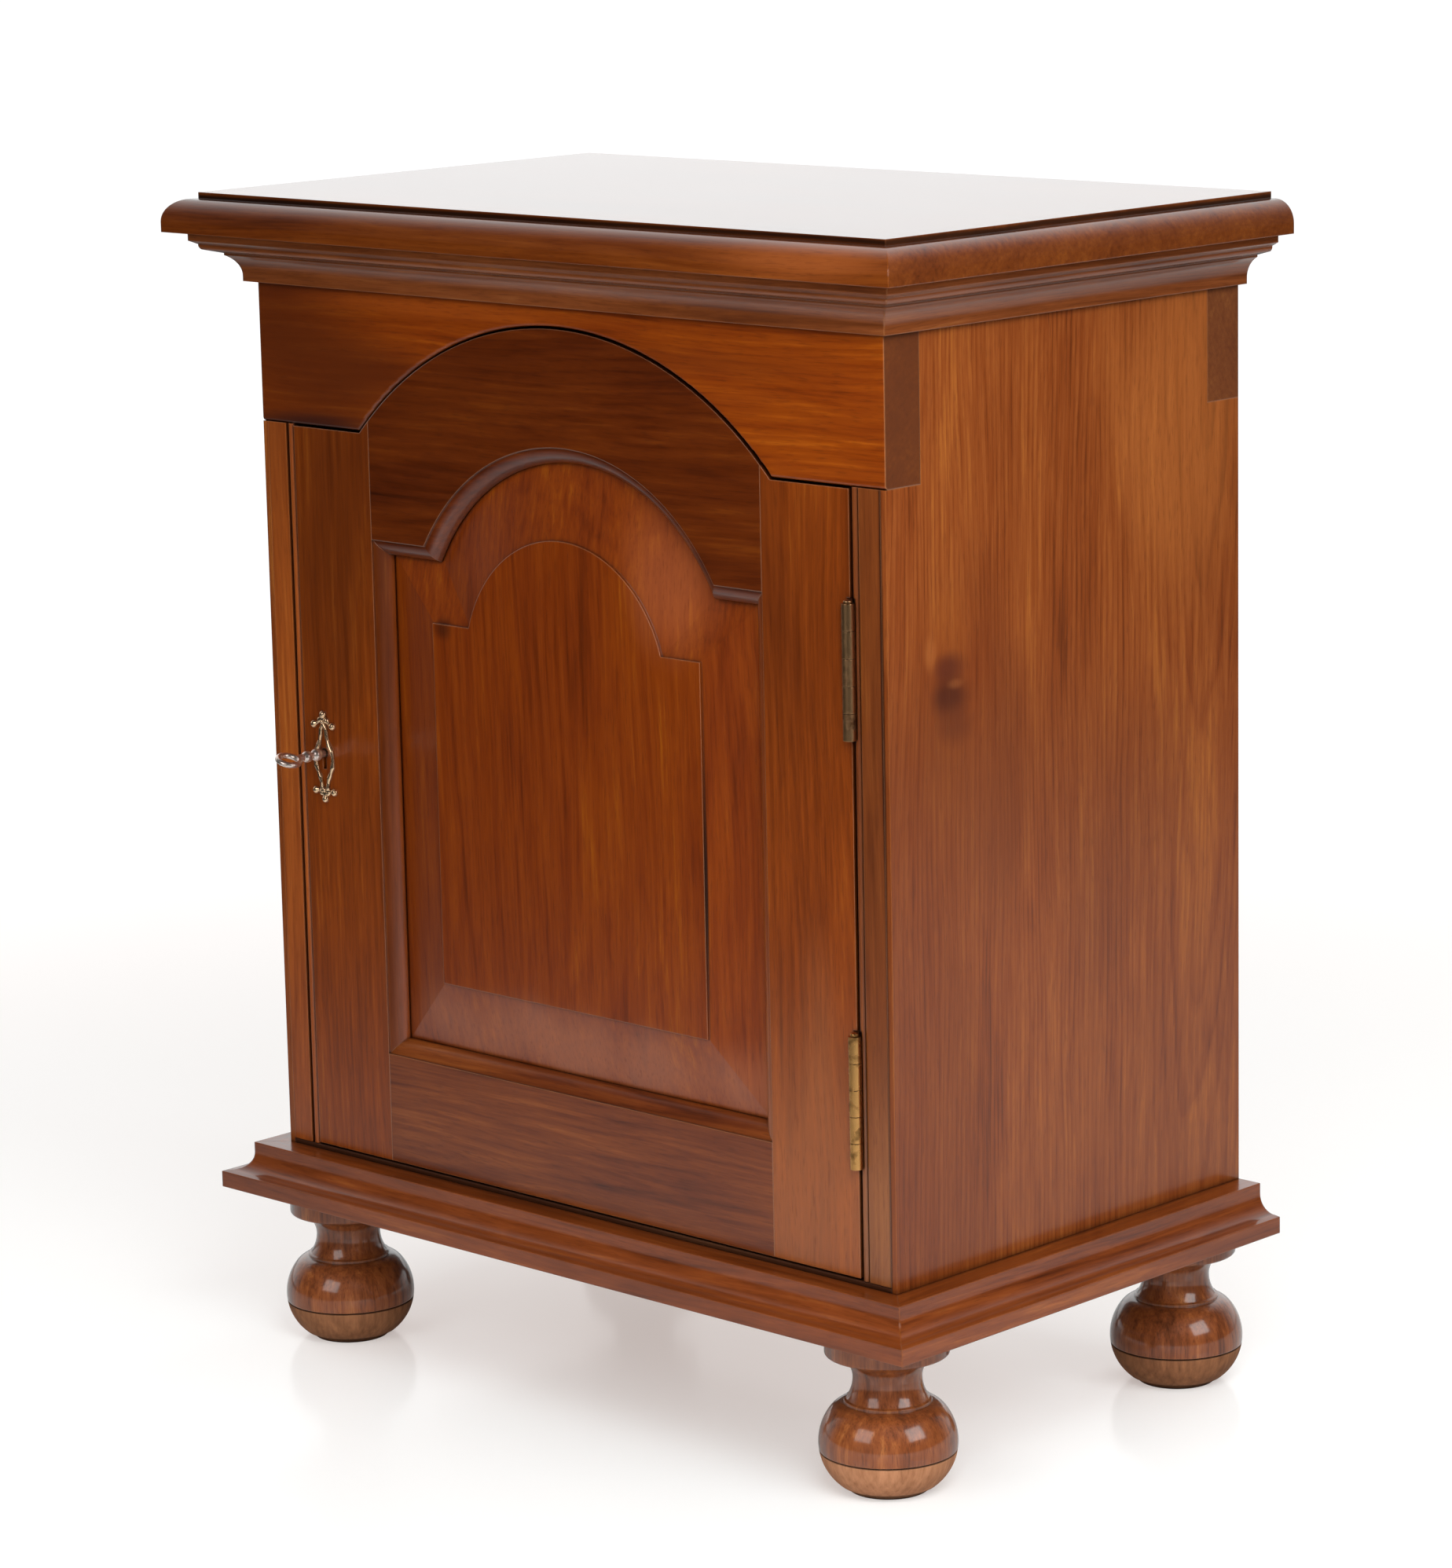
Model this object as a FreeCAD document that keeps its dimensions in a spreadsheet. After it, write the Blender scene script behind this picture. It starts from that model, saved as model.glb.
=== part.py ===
import FreeCAD, Part
import math
import os
import re
import Sketcher
from FreeCAD import Placement, Rotation, Vector

# A small one-door cabinet on four turned ball feet: dovetail-free boarded carcass,
# mitred cornice and base mouldings, an arched frame-and-panel door on a pair of
# butt hinges, and a cut cupboard lock with its key.
# Millimetres, +Z up. Every outline below is written in the carcass's own frame:
# x = 0 in the middle, y = 0 on the carcass front with the back at +y, z = 0 on the floor.
# The bodies' Placement then moves the front so that the origin is under the middle.
# An outline that cuts runs 1 mm past each face that it opens.

doc = FreeCAD.newDocument("CabinetOnStand")

dimensions = [
    # whole
    ("total_height", 700, "floor to the top face"),
    ("carcass_half", 248, "half the carcass width"),
    ("carcass_depth", 301, "front face to back face"),
    ("key_reach", 36, "how far the key stands out of the door"),
    # boards
    ("side_thick", 20, "side board"),
    ("side_lip", 4, "edge of the side that shows beside the frame stile"),
    ("rail_thick", 28, "frieze rail, back rail and frame stiles"),
    ("back_thick", 10, "back boards"),
    ("back_rebate", 10, "rebate for the back boards"),
    ("back_rail_bottom", 582, "lower edge of the back rail"),
    ("board_thick", 18, "bottom board and shelf"),
    ("shelf_base", 352, "underside of the shelf"),
    ("shelf_setback", 12, "shelf edge behind the frame"),
    ("housing_deep", 8, "housing for the shelf"),
    ("board_lap", 6, "overlap of the back boards"),
    ("stop_gap", 0.5, "door stop behind the door's back"),
    ("lip_round", 1.2, "front edge of the bottom board"),
    # opening, door gap and the bead round the opening
    ("opening_half", 222.5, "half the width of the opening"),
    ("opening_base", 124, "lower edge of the opening"),
    ("shoulder_top", 564, "opening height at the shoulders"),
    ("arch_round", 226, "radius of the opening's arch"),
    ("arch_centre", 409, "height of that arch's centre"),
    ("door_gap", 1.1, "gap round the door"),
    ("bead_round", 2.35, "radius of the bead"),
    ("quirk_wide", 1, "groove beside the bead"),
    # top board
    ("top_under", 677, "underside of the top board"),
    ("top_lip", 23.5, "overhang of the upper lip"),
    ("lip_drop", 3.7, "height of the lip"),
    ("ovolo_start", 26.4, "overhang where the ovolo starts"),
    ("ovolo_round", 13.2, "radius of the ovolo"),
    # cornice moulding, as overhang and height
    ("cornice_base", 647, "underside of the cornice"),
    ("fillet_out", 28.6, "upper fillet's overhang"),
    ("fillet_base", 671.6, "upper fillet's lower edge"),
    ("bead_out", 24.4, "small ovolo's overhang"),
    ("bead_top", 669.4, "small ovolo's top"),
    ("bead_low", 666.2, "small ovolo's lower end"),
    ("bead_back", 1.4, "how far its lower end lies back"),
    ("bead_curve", 3.6, "radius of the small ovolo"),
    ("cove_out", 13.8, "overhang of the cove's upper end"),
    ("cove_top", 662.6, "height of the cove's upper end"),
    ("cove_in", 6.3, "overhang of the cove's lower end"),
    ("cove_low", 650, "height of the cove's lower end"),
    ("cove_round", 13.6, "radius of the cove"),
    ("cove_step", 1.2, "fillet over the cove"),
    # base frame
    ("ledge_top", 121, "top of the base frame"),
    ("base_under", 93.5, "underside of the base frame"),
    ("ledge_out", 15.8, "ledge in front of the carcass"),
    ("base_out", 30.3, "overhang of the lower edge"),
    ("base_edge_top", 103.2, "top of the lower edge"),
    ("base_cove_round", 11, "radius of the cove"),
    ("base_step", 0.5, "rise from the lower edge to the cove"),
    ("base_wide", 45, "base frame behind the carcass face"),
    ("stub_long", 7, "stub tenons of the back member"),
    ("stub_shoulder", 8, "shoulders round them"),
    # feet
    ("foot_inset_side", 26.5, "foot axis inside the carcass side"),
    ("foot_inset_front", 20.5, "foot axis behind the carcass front"),
    ("foot_inset_back", 26, "foot axis before the carcass back"),
    ("pad_radius", 23.5, "disc under the ball"),
    ("pad_tall", 3.5, "its height"),
    ("pad_chamfer", 1, "its lower edge"),
    ("ball_core", 9, "radius of the circle that the ball's centre runs on"),
    ("ball_round", 30, "radius of the ball's outline"),
    ("ball_mid", 27, "height of the ball's middle"),
    ("ball_top", 46, "where the ball turns over to its top"),
    ("crown_top", 50.2, "top of the ball, at the ring"),
    ("crown_round", 11.8, "radius of the turn"),
    ("ring_radius", 24.6, "ring on the ball"),
    ("score_low", 22.1, "lower edge of the turned score"),
    ("score_tall", 1.2, "height of the score"),
    ("score_deep", 1.2, "depth of the score"),
    ("ring_tall", 1.6, "height of the ring"),
    ("ring_slope", 0.6, "slope on the ring"),
    ("neck_foot", 23.2, "neck radius on the ring"),
    ("neck_radius", 19.4, "narrowest neck"),
    ("neck_height", 64.5, "height of the narrowest neck"),
    ("neck_lower_round", 21.3, "radius of the neck's lower hollow"),
    ("flare_radius", 35, "disc under the base frame"),
    ("rim_round", 1.5, "its rounded lower edge"),
    ("flare_round", 13.5, "radius of the neck's upper hollow"),
    ("tenon_radius", 11, "foot tenon"),
    ("tenon_tall", 25, "foot tenon"),
    ("bore_clear", 0.1, "bore wider than the tenon"),
    # door
    ("door_thick", 22, "door frame"),
    ("joint_half", 156.5, "half the distance between the stiles' shoulders"),
    ("stick_wide", 9.5, "width of the moulding run round the panel"),
    ("stick_fillet", 1, "drop from the face to the moulding"),
    ("stick_round", 10.5, "radius of the moulding"),
    ("stick_back", 0.8, "wood between the moulding and the groove"),
    ("panel_base_line", 191, "outer line of the moulding at the bottom"),
    ("panel_shoulder_line", 500.7, "outer line of the moulding at the shoulders"),
    ("panel_arch_round", 134.8, "its radius round the arch"),
    ("panel_arch_centre", 432.2, "height of the centre of the arch"),
    ("panel_arch_shift", 4, "how far the arch sits towards the hinges"),
    ("groove_front", 9.5, "front cheek of the panel groove"),
    ("groove_back", 16.2, "back cheek of the panel groove"),
    ("groove_deep", 8, "depth of the panel groove"),
    ("rail_tenon_long", 42, "tenons of the door rails"),
    ("rail_tenon_inset", 12, "shoulder at the outer end of a tenon"),
    ("rail_tenon_back", 4, "shoulder at its panel end"),
    ("tenon_root", 2, "tenon inside its rail"),
    ("mortise_gap", 0.5, "mortise beyond the tenon"),
    # fielded panel
    ("tongue_in", 7, "how far the panel enters the groove"),
    ("panel_back", 16, "back face of the panel"),
    ("panel_edge", 11.3, "front of the tongue's edge"),
    ("field_face", 0.8, "face of the field behind the door's face"),
    ("field_step", 1.5, "step round the field"),
    ("field_half", 107.5, "half the field's width"),
    ("field_base", 241.5, "lower edge of the field"),
    ("field_shoulder", 456.3, "field's shoulders"),
    ("field_arch_round", 80.8, "radius of the field's arch"),
    ("field_arch_centre", 433, "height of that arch's centre"),
    # hinges
    ("pin_drop", 2.5, "hinge pin before the door's face"),
    ("knuckle_radius", 3.7, "hinge knuckle"),
    ("knuckle_relief", 4.1, "hollow for the knuckle in the wood"),
    ("pin_radius", 1.6, "hinge pin"),
    ("pin_fit", 0.05, "running clearance on the pin"),
    ("pin_tip", 1.8, "tip of the pin above the knuckles"),
    ("tip_round", 0.9, "head of the pin wider than its shank"),
    ("tip_clear", 0.6, "clearance over the pin"),
    ("leaf_thick", 1.65, "hinge leaf"),
    ("leaf_gap", 0.2, "half the gap between closed leaves"),
    ("leaf_reach", 18, "leaf behind the door's face"),
    ("web_long", 1, "web from a knuckle to its leaf"),
    ("hinge_long", 75, "hinge"),
    ("knuckle_gap", 0.3, "gap between knuckles"),
    ("upper_hinge", 464, "middle of the upper hinge"),
    ("lower_hinge", 225.5, "middle of the lower hinge"),
    ("screw_pitch", 26, "hinge screws apart"),
    ("screw_back", 11, "hinge screws behind the door's face"),
    ("screw_head", 2.9, "head radius of the hinge screws"),
    ("screw_taper", 0.5, "shank of a screw against its head"),
    ("screw_long", 13.5, "hinge screws"),
    # lock
    ("key_x", -204.5, "key axis"),
    ("key_z", 367.8, "key axis"),
    ("case_half_tall", 24, "half the height of the lock case"),
    ("case_wide", 46.5, "lock case from the door's edge"),
    ("case_front", 10, "front of the lock case"),
    ("case_back", 20.4, "where the cap lies on the case"),
    ("case_wall", 1.2, "sheet of the case"),
    ("plate_fore", 6, "selvedge before the case"),
    ("plate_thick", 1.5, "selvedge and cap"),
    ("plate_half_tall", 31, "half the height of selvedge and cap"),
    ("lock_screw", 2.2, "head radius of the lock screws"),
    ("lock_screw_long", 11, "lock screws"),
    ("lug_screw", 27.5, "lock screws above and below the key"),
    ("lug_across", 8, "back screws from the key axis"),
    ("lug_along", 12, "selvedge screws behind the door's face"),
    ("bolt_low", 5, "underside of the bolt above the key axis"),
    ("bolt_tall", 10, "bolt"),
    ("bolt_front", 13, "front of the bolt"),
    ("bolt_thick", 4.2, "bolt"),
    ("bolt_clear", 0.35, "clearance round the bolt"),
    ("bolt_end", 18, "tail of the bolt beyond the key axis"),
    ("talon_left", 5, "notch for the key, lock side"),
    ("talon_right", 12.5, "notch for the key, hinge side"),
    ("talon_top", 10.6, "height of the notch above the key axis"),
    ("strike_half_tall", 17, "half the height of the striking plate"),
    ("strike_border", 6, "striking plate round the bolt's hole"),
    ("strike_screw", 12.5, "its screws above and below the bolt"),
    ("mortise_deep", 11, "depth of the bolt's mortise"),
    # key and escutcheon
    ("shank_radius", 2.2, "key shank"),
    ("key_fit", 0.06, "running clearance of the key in the cap"),
    ("key_hole_radius", 2.9, "round of the keyhole"),
    ("key_slot_half", 1.5, "half the width of the keyhole's slot"),
    ("bit_clear", 0.6, "slot beyond the bit"),
    ("bit_reach", 9, "key bit from the axis"),
    ("bit_front", 12.6, "front of the bit"),
    ("bit_wide", 5, "bit along the axis"),
    ("bit_half", 1, "half the bit's thickness"),
    ("bow_long", 15, "ring bow"),
    ("bow_bar", 3.3, "thickness of the bow's bar"),
    ("key_tip", 0.4, "chamfer at the end of the shank"),
    ("key_tilt", 18, "degrees that the key is turned past level"),
    ("plate_drop", 1.6, "middle of the escutcheon below the key axis"),
    ("plate_face", 1.3, "thickness of the escutcheon"),
    ("nail_radius", 0.8, "escutcheon nails"),
    ("pin_long", 7, "escutcheon nails in the wood"),
    ("loop_half", 7.4, "half the width of the escutcheon's loop"),
    ("loop_end", 17.5, "end of the loop above the plate's middle"),
    ("loop_bar", 2.2, "width of the loop's bar"),
    ("bridge_rise", 1, "middle of the bridge beyond the loop's end"),
    ("bridge_half", 2.5, "half the height of the bridge to the trefoil"),
    ("cusp_out", 0.6, "cusp beyond the loop's side"),
    ("cusp_rise", 4.2, "cusps above and below the plate's middle"),
    ("cusp_radius", 1.9, "round of a cusp"),
    ("leaf_lobe", 2.7, "radius of a lobe"),
    ("heart_lobe", 3.3, "radius of the lobes' middle"),
    ("heart_rise", 20.8, "lobes' middle above the plate's"),
    ("lobe_side", 7.6, "side lobes from the middle"),
    ("lobe_rise", 19, "side lobes above the plate's middle"),
    ("lobe_tip", 25, "end lobe above the plate's middle"),
    ("arm_half", 1.1, "half the width of the arms to the side lobes"),
]

sheet = doc.addObject("Spreadsheet::Sheet", "Dims")
for row, (alias, size, note) in enumerate(dimensions, start=1):
    sheet.set(f"A{row}", alias)
    sheet.set(f"B{row}", str(size))
    sheet.set(f"C{row}", note)
    sheet.setAlias(f"B{row}", alias)
doc.recompute()

aliases = {alias for alias, _, _ in dimensions}
nodes = []

# y of the carcass front, so that the origin is under the middle, from the top's edge to the back feet
front_plane = "(ovolo_start + ovolo_round - carcass_depth - ball_core - ball_round + foot_inset_back) / 2"


def bind(text):
    """Write plain dimension names as references to the sheet."""
    return re.sub(r"[a-z_]+", lambda word: ("Dims." if word.group() in aliases else "") + word.group(), text)


def value(text):
    return float(sheet.evalExpression(bind(text)))


# ---- sketches and features -------------------------------------------------------------

forward = {"XY_Plane": 1, "XZ_Plane": -1, "YZ_Plane": 1}  # sketch normal against +Z, +Y, +X


def newBody(label, across="0", along="0", up="0"):
    body = doc.addObject("PartDesign::Body", label)
    body.Label = label
    for axis, shift in zip("xyz", (across, f"{front_plane} + {along}", up)):
        body.setExpression(f"Placement.Base.{axis}", bind(shift))
    nodes.append(body)
    return body


def newSketch(body, plane, start="0"):
    """A sketch on one of the body's own planes, moved along +X, +Y or +Z by start."""
    sketch = body.newObject("Sketcher::SketchObject", "Sketch")
    origin = next(item for item in body.Origin.OriginFeatures if item.Role == plane)
    sketch.AttachmentSupport = (origin, [""])
    sketch.MapMode = "FlatFace"
    sketch.setExpression("AttachmentOffset.Base.z", bind(f"{forward[plane]} * ({start})"))
    return sketch


def arcThrough(start, end, radius, turn):
    """A minor arc; turn is +1 where the way from start to end runs anticlockwise."""
    chord = end - start
    rise = math.sqrt(max(radius ** 2 - chord.Length ** 2 / 4, 0))
    centre = (start + end) / 2 + Vector(-chord.y, chord.x, 0).normalize() * rise * turn
    angles = [math.atan2(spot.y - centre.y, spot.x - centre.x) for spot in (start, end)]
    return Part.ArcOfCircle(Part.Circle(centre, Vector(0, 0, 1), radius), *angles[::turn])


def drawOutline(sketch, points, side=1):
    """A closed outline. A point is (x, y), or (x, y, radius, turn) where an arc ends there."""
    if side < 0:
        points = [(f"-({p[0]})", p[1]) + ((p[2], -p[3]) if len(p) > 2 else ()) for p in points]
    spots = [Vector(value(p[0]), value(p[1]), 0) for p in points]
    count, first = len(points), sketch.GeometryCount
    rules, formulas, starts, ends = [], [], [], []
    for index in range(count):
        start, end, spec = spots[index], spots[(index + 1) % count], points[(index + 1) % count]
        geometry = first + index
        if len(spec) == 2:
            sketch.addGeometry(Part.LineSegment(start, end), False)
            turn = 1
        else:
            turn = spec[3]
            sketch.addGeometry(arcThrough(start, end, value(spec[2]), turn), False)
            rules.append(Sketcher.Constraint("Radius", geometry, value(spec[2])))
            formulas.append(spec[2])
        starts.append(1 if turn > 0 else 2)
        ends.append(2 if turn > 0 else 1)
    for index in range(count):
        for kind, spot, text in (("DistanceX", spots[index].x, 0), ("DistanceY", spots[index].y, 1)):
            rules.append(Sketcher.Constraint(kind, -1, 1, first + index, starts[index], spot))
            formulas.append(points[index][text])
    known = sketch.ConstraintCount
    sketch.addConstraint(rules)
    sketch.addConstraint([Sketcher.Constraint("Coincident", first + index, ends[index],
                                              first + (index + 1) % count, starts[(index + 1) % count])
                          for index in range(count)])
    bindRules(sketch, known, formulas)


def drawCircle(sketch, across, up, radius):
    first = sketch.GeometryCount
    known = sketch.ConstraintCount
    middle = Vector(value(across), value(up), 0)
    sketch.addGeometry(Part.Circle(middle, Vector(0, 0, 1), value(radius)), False)
    sketch.addConstraint([Sketcher.Constraint("Radius", first, value(radius)),
                          Sketcher.Constraint("DistanceX", -1, 1, first, 3, middle.x),
                          Sketcher.Constraint("DistanceY", -1, 1, first, 3, middle.y)])
    bindRules(sketch, known, (radius, across, up))


def bindRules(sketch, known, formulas):
    for index, text in enumerate(formulas, start=known):
        if bind(text) != text:
            sketch.setExpression(f"Constraints[{index}]", bind(text))


def box(left, right, low, high):
    return [(left, low), (right, low), (right, high), (left, high)]


def grow(body, kind, plane, start, length, *outlines, side=1):
    """Pad or cut the outlines from start along +X, +Y or +Z. A circle is (x, y, radius)."""
    sketch = newSketch(body, plane, start)
    for outline in outlines:
        if isinstance(outline, tuple):
            drawCircle(sketch, *outline)
        else:
            drawOutline(sketch, outline, side)
    feature = body.newObject(f"PartDesign::{kind}", kind)
    feature.Profile = sketch
    feature.setExpression("Length", bind(length))
    feature.Reversed = (forward[plane] < 0) == (kind == "Pad")
    return feature


def pad(body, plane, start, length, *outlines, side=1):
    return grow(body, "Pad", plane, start, length, *outlines, side=side)


def cut(body, plane, start, length, *outlines, side=1):
    return grow(body, "Pocket", plane, start, length, *outlines, side=side)


def countersink(body, plane, face, depth, spots, head, inward):
    """Holes for screw heads, sunk from a face towards +1 or -1 along its axis."""
    for spot in spots:
        hole = cut(body, plane, face, depth, (*spot, head))
        hole.Reversed = (forward[plane] > 0) == (inward > 0)
        hole.setExpression("TaperAngle", bind(f"-atan(({head} - {screwShank(head)}) / ({depth}))"))


def screwShank(head):
    return f"{head} * screw_taper"


def drill(body, plane, face, depth, spots, head, inward):
    """Pilot holes for screws with this head."""
    holes = cut(body, plane, face, depth, *[(*spot, screwShank(head)) for spot in spots])
    holes.Reversed = (forward[plane] > 0) == (inward > 0)


def turned(body, kind, plane, points, axis, shift=("0", "0"), start="0"):
    """Revolve an outline about the sketch's H_Axis or V_Axis, the sketch moved by shift."""
    sketch = newSketch(body, plane, start)
    sketch.setExpression("AttachmentOffset.Base.x", bind(shift[0]))
    sketch.setExpression("AttachmentOffset.Base.y", bind(shift[1]))
    if isinstance(points, tuple):
        drawCircle(sketch, *points)
    else:
        drawOutline(sketch, points)
    feature = body.newObject(f"PartDesign::{kind}", kind)
    feature.Profile = sketch
    feature.ReferenceAxis = (sketch, [axis])
    feature.Angle = 360
    return feature


def fillet(body, radius, chosen):
    """Round the edges of the body's last feature for which chosen(edge) is true."""
    doc.recompute()
    tip = body.Tip
    names = [f"Edge{index}" for index, edge in enumerate(tip.Shape.Edges, start=1) if chosen(edge)]
    feature = body.newObject("PartDesign::Fillet", "Fillet")
    feature.Base = (tip, names)
    feature.setExpression("Radius", bind(radius))


def grouped(label, solids):
    """Identical small pieces as one node of separate solids."""
    group = doc.addObject("Part::Feature", label)
    group.Label = label
    group.Shape = Part.makeCompound(solids)
    group.Placement = Placement(Vector(0, value(front_plane), 0), Rotation())
    nodes.append(group)


def handed(side):
    return "left" if side < 0 else "right"


# ---- carcass ---------------------------------------------------------------------------

def makeSide(side):
    body = newBody(f"side_{handed(side)}")
    inner = "carcass_half - side_thick"
    pad(body, "YZ_Plane", f"{side} * carcass_half - ({1 if side > 0 else 0}) * side_thick", "side_thick",
        [("0", "ledge_top"), ("carcass_depth", "ledge_top"), ("carcass_depth", "back_rail_bottom"),
         ("carcass_depth - rail_thick", "back_rail_bottom"), ("carcass_depth - rail_thick", "top_under"),
         ("rail_thick", "top_under"), ("rail_thick", "shoulder_top"), ("0", "shoulder_top")])
    # rebates for the frame stile and the back boards
    cut(body, "XY_Plane", "ledge_top", "top_under - ledge_top",
        box(inner, "carcass_half - side_lip", "0", "rail_thick"), side=side)
    cut(body, "XY_Plane", "ledge_top", "back_rail_bottom - ledge_top",
        box(inner, f"{inner} + back_rebate", "carcass_depth - back_thick", "carcass_depth"), side=side)
    # rebate for the bottom board and housing for the shelf
    cut(body, "XZ_Plane", "rail_thick", "carcass_depth - back_thick - rail_thick",
        box(inner, f"{inner} + back_rebate", "ledge_top", "ledge_top + board_thick"), side=side)
    cut(body, "XZ_Plane", "rail_thick", "carcass_depth - back_thick - rail_thick",
        box(inner, f"{inner} + housing_deep", "shelf_base", "shelf_base + board_thick"), side=side)


def makeFrameStile(side):
    body = newBody(f"frame_stile_{handed(side)}")
    bead = "opening_half + bead_round"
    pad(body, "XY_Plane", "opening_base", "shoulder_top - opening_base",
        [("opening_half", "rail_thick"), ("opening_half", "bead_round"),
         (bead, "0", "bead_round", 1), (f"{bead} + bead_round", "bead_round", "bead_round", 1),
         (f"{bead} + bead_round + quirk_wide", "bead_round"), (f"{bead} + bead_round + quirk_wide", "0"),
         ("carcass_half - side_lip", "0"), ("carcass_half - side_lip", "rail_thick")], side=side)
    return body


def makeFriezeRail():
    body = newBody("frieze_rail")
    foot = "sqrt(arch_round^2 - (shoulder_top - arch_centre)^2)"
    pad(body, "XZ_Plane", "0", "rail_thick",
        [("-carcass_half", "top_under"), ("-carcass_half", "shoulder_top"), (f"-{foot}", "shoulder_top"),
         (foot, "shoulder_top", "arch_round", -1), ("carcass_half", "shoulder_top"),
         ("carcass_half", "top_under")])
    high = value("arch_centre + arch_round") + 1
    fillet(body, "bead_round", lambda edge: edge.BoundBox.YMax < 0.01 and edge.BoundBox.ZMax < high
           and edge.BoundBox.XLength > 1)
    return body


def makeBackRail():
    body = newBody("back_rail")
    pad(body, "XZ_Plane", "carcass_depth - rail_thick", "rail_thick",
        box("-carcass_half", "carcass_half", "back_rail_bottom", "top_under"))
    inner = "carcass_half - side_thick + back_rebate"
    cut(body, "XZ_Plane", "carcass_depth - back_thick", "back_thick",
        box(f"-({inner})", inner, "back_rail_bottom", "back_rail_bottom + back_rebate"))


def makeTopBoard():
    body = newBody("top_board")
    edge = "ovolo_start + ovolo_round"
    low = "total_height - lip_drop - ovolo_round"
    profile = [("top_lip", "total_height"), ("top_lip", "total_height - lip_drop"),
               ("ovolo_start", "total_height - lip_drop"), (edge, low, "ovolo_round", -1)]
    pad(body, "YZ_Plane", f"-(carcass_half + {edge})", f"2 * (carcass_half + {edge})",
        [("carcass_depth", "top_under"), ("carcass_depth", "total_height")]
        + [(f"-({out})", up) + tuple(arc) for out, up, *arc in reversedArc(profile)]
        + [(f"-({edge})", "top_under")])
    past = f"carcass_half + {edge} + 1"
    for side in (1, -1):
        waste = [(f"carcass_half + {out}", up) + tuple(arc) for out, up, *arc in profile]
        cut(body, "XZ_Plane", f"-({edge}) - 1", f"carcass_depth + {edge} + 2",
            [("carcass_half + top_lip", "total_height + 1")] + waste[1:]
            + [(past, low), (past, "total_height + 1")], side=side)


def reversedArc(profile):
    """The same profile seen from its other side: x negated, so the arcs turn the other way."""
    return [(out, up) + ((arc[0], -arc[1]) if arc else ()) for out, up, *arc in profile]


# ---- mouldings that meet in mitres at the front corners -----------------------------------

def cutMitre(body, side, behind, along_front):
    """Saw the end of a moulding along the line that runs out of the front corner at 45 degrees."""
    inner, outer = f"carcass_half - {behind}", "carcass_half + base_out + 1"
    far = "-(base_out + 1)"
    waste = [(inner, behind), (outer, far)]
    waste.append((outer, behind) if along_front else (inner, far))
    cut(body, "XY_Plane", "0", "total_height", waste if along_front else waste[::-1], side=side)


def corniceProfile():
    """Cornice section, as overhang and height."""
    return [("0", "top_under"), ("fillet_out", "top_under"), ("fillet_out", "fillet_base"),
            ("bead_out", "bead_top"), ("bead_out - bead_back", "bead_low", "bead_curve", -1),
            ("cove_out", "cove_top + cove_step"),
            ("cove_out", "cove_top"), ("cove_in", "cove_low", "cove_round", 1), ("cove_in", "cornice_base"),
            ("0", "cornice_base")]


def baseProfile():
    low = "base_edge_top + base_step"
    return [("ledge_out", "ledge_top"), ("ledge_out", f"{low} + base_cove_round"),
            ("ledge_out + base_cove_round", low, "base_cove_round", 1),
            ("base_out", "base_edge_top"), ("base_out", "base_under")]


def makeFrontMoulding(label, profile, behind, reach):
    body = newBody(label)
    pad(body, "YZ_Plane", f"-(carcass_half + {reach})", f"2 * (carcass_half + {reach})",
        [(f"-({out})", up) + tuple(arc) for out, up, *arc in reversedArc(profile)])
    for side in (1, -1):
        cutMitre(body, side, behind, True)
    return body


def makeSideMoulding(label, profile, behind, reach, side):
    body = newBody(label)
    pad(body, "XZ_Plane", f"-({reach})", f"carcass_depth + {reach}",
        [(f"carcass_half + {out}", up) + tuple(arc) for out, up, *arc in profile], side=side)
    cutMitre(body, side, behind, False)
    return body


def footSpots():
    return {f"{depth}_{handed(side)}": (side, depth)
            for side in (-1, 1) for depth in ("front", "back")}


def footAxis(side, depth):
    across = f"{side} * (carcass_half - foot_inset_side)"
    along = "foot_inset_front" if depth == "front" else "carcass_depth - foot_inset_back"
    return across, along


def makeBaseFrame():
    profile = baseProfile()
    closed = [("-base_wide", "ledge_top")] + profile + [("-base_wide", "base_under")]
    front = makeFrontMoulding("base_front", closed, "base_wide", "base_out")
    bore = "tenon_radius + bore_clear"
    stub = ("carcass_depth - base_wide + stub_shoulder", "base_wide - 2 * stub_shoulder")
    for side in (-1, 1):
        member = makeSideMoulding(f"base_{handed(side)}", closed, "base_wide", "base_out", side)
        for depth in ("front", "back"):
            across, along = footAxis(side, depth)
            cut(member, "XY_Plane", "base_under", "ledge_top - base_under", (across, along, bore))
        across, along = footAxis(side, "front")
        cut(front, "XY_Plane", "base_under", "ledge_top - base_under", (across, along, bore))
        mortise = box("carcass_half - base_wide", "carcass_half - base_wide + stub_long",
                      "base_under + stub_shoulder", "ledge_top - stub_shoulder")
        cut(member, "XZ_Plane", *stub, mortise, side=side)
    back = newBody("base_back")
    half = "carcass_half - base_wide"
    pad(back, "XZ_Plane", "carcass_depth - base_wide", "base_wide",
        box(f"-({half})", half, "base_under", "ledge_top"))
    pad(back, "XZ_Plane", *stub,
        box(f"-({half} + stub_long)", f"{half} + stub_long",
            "base_under + stub_shoulder", "ledge_top - stub_shoulder"))


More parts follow.
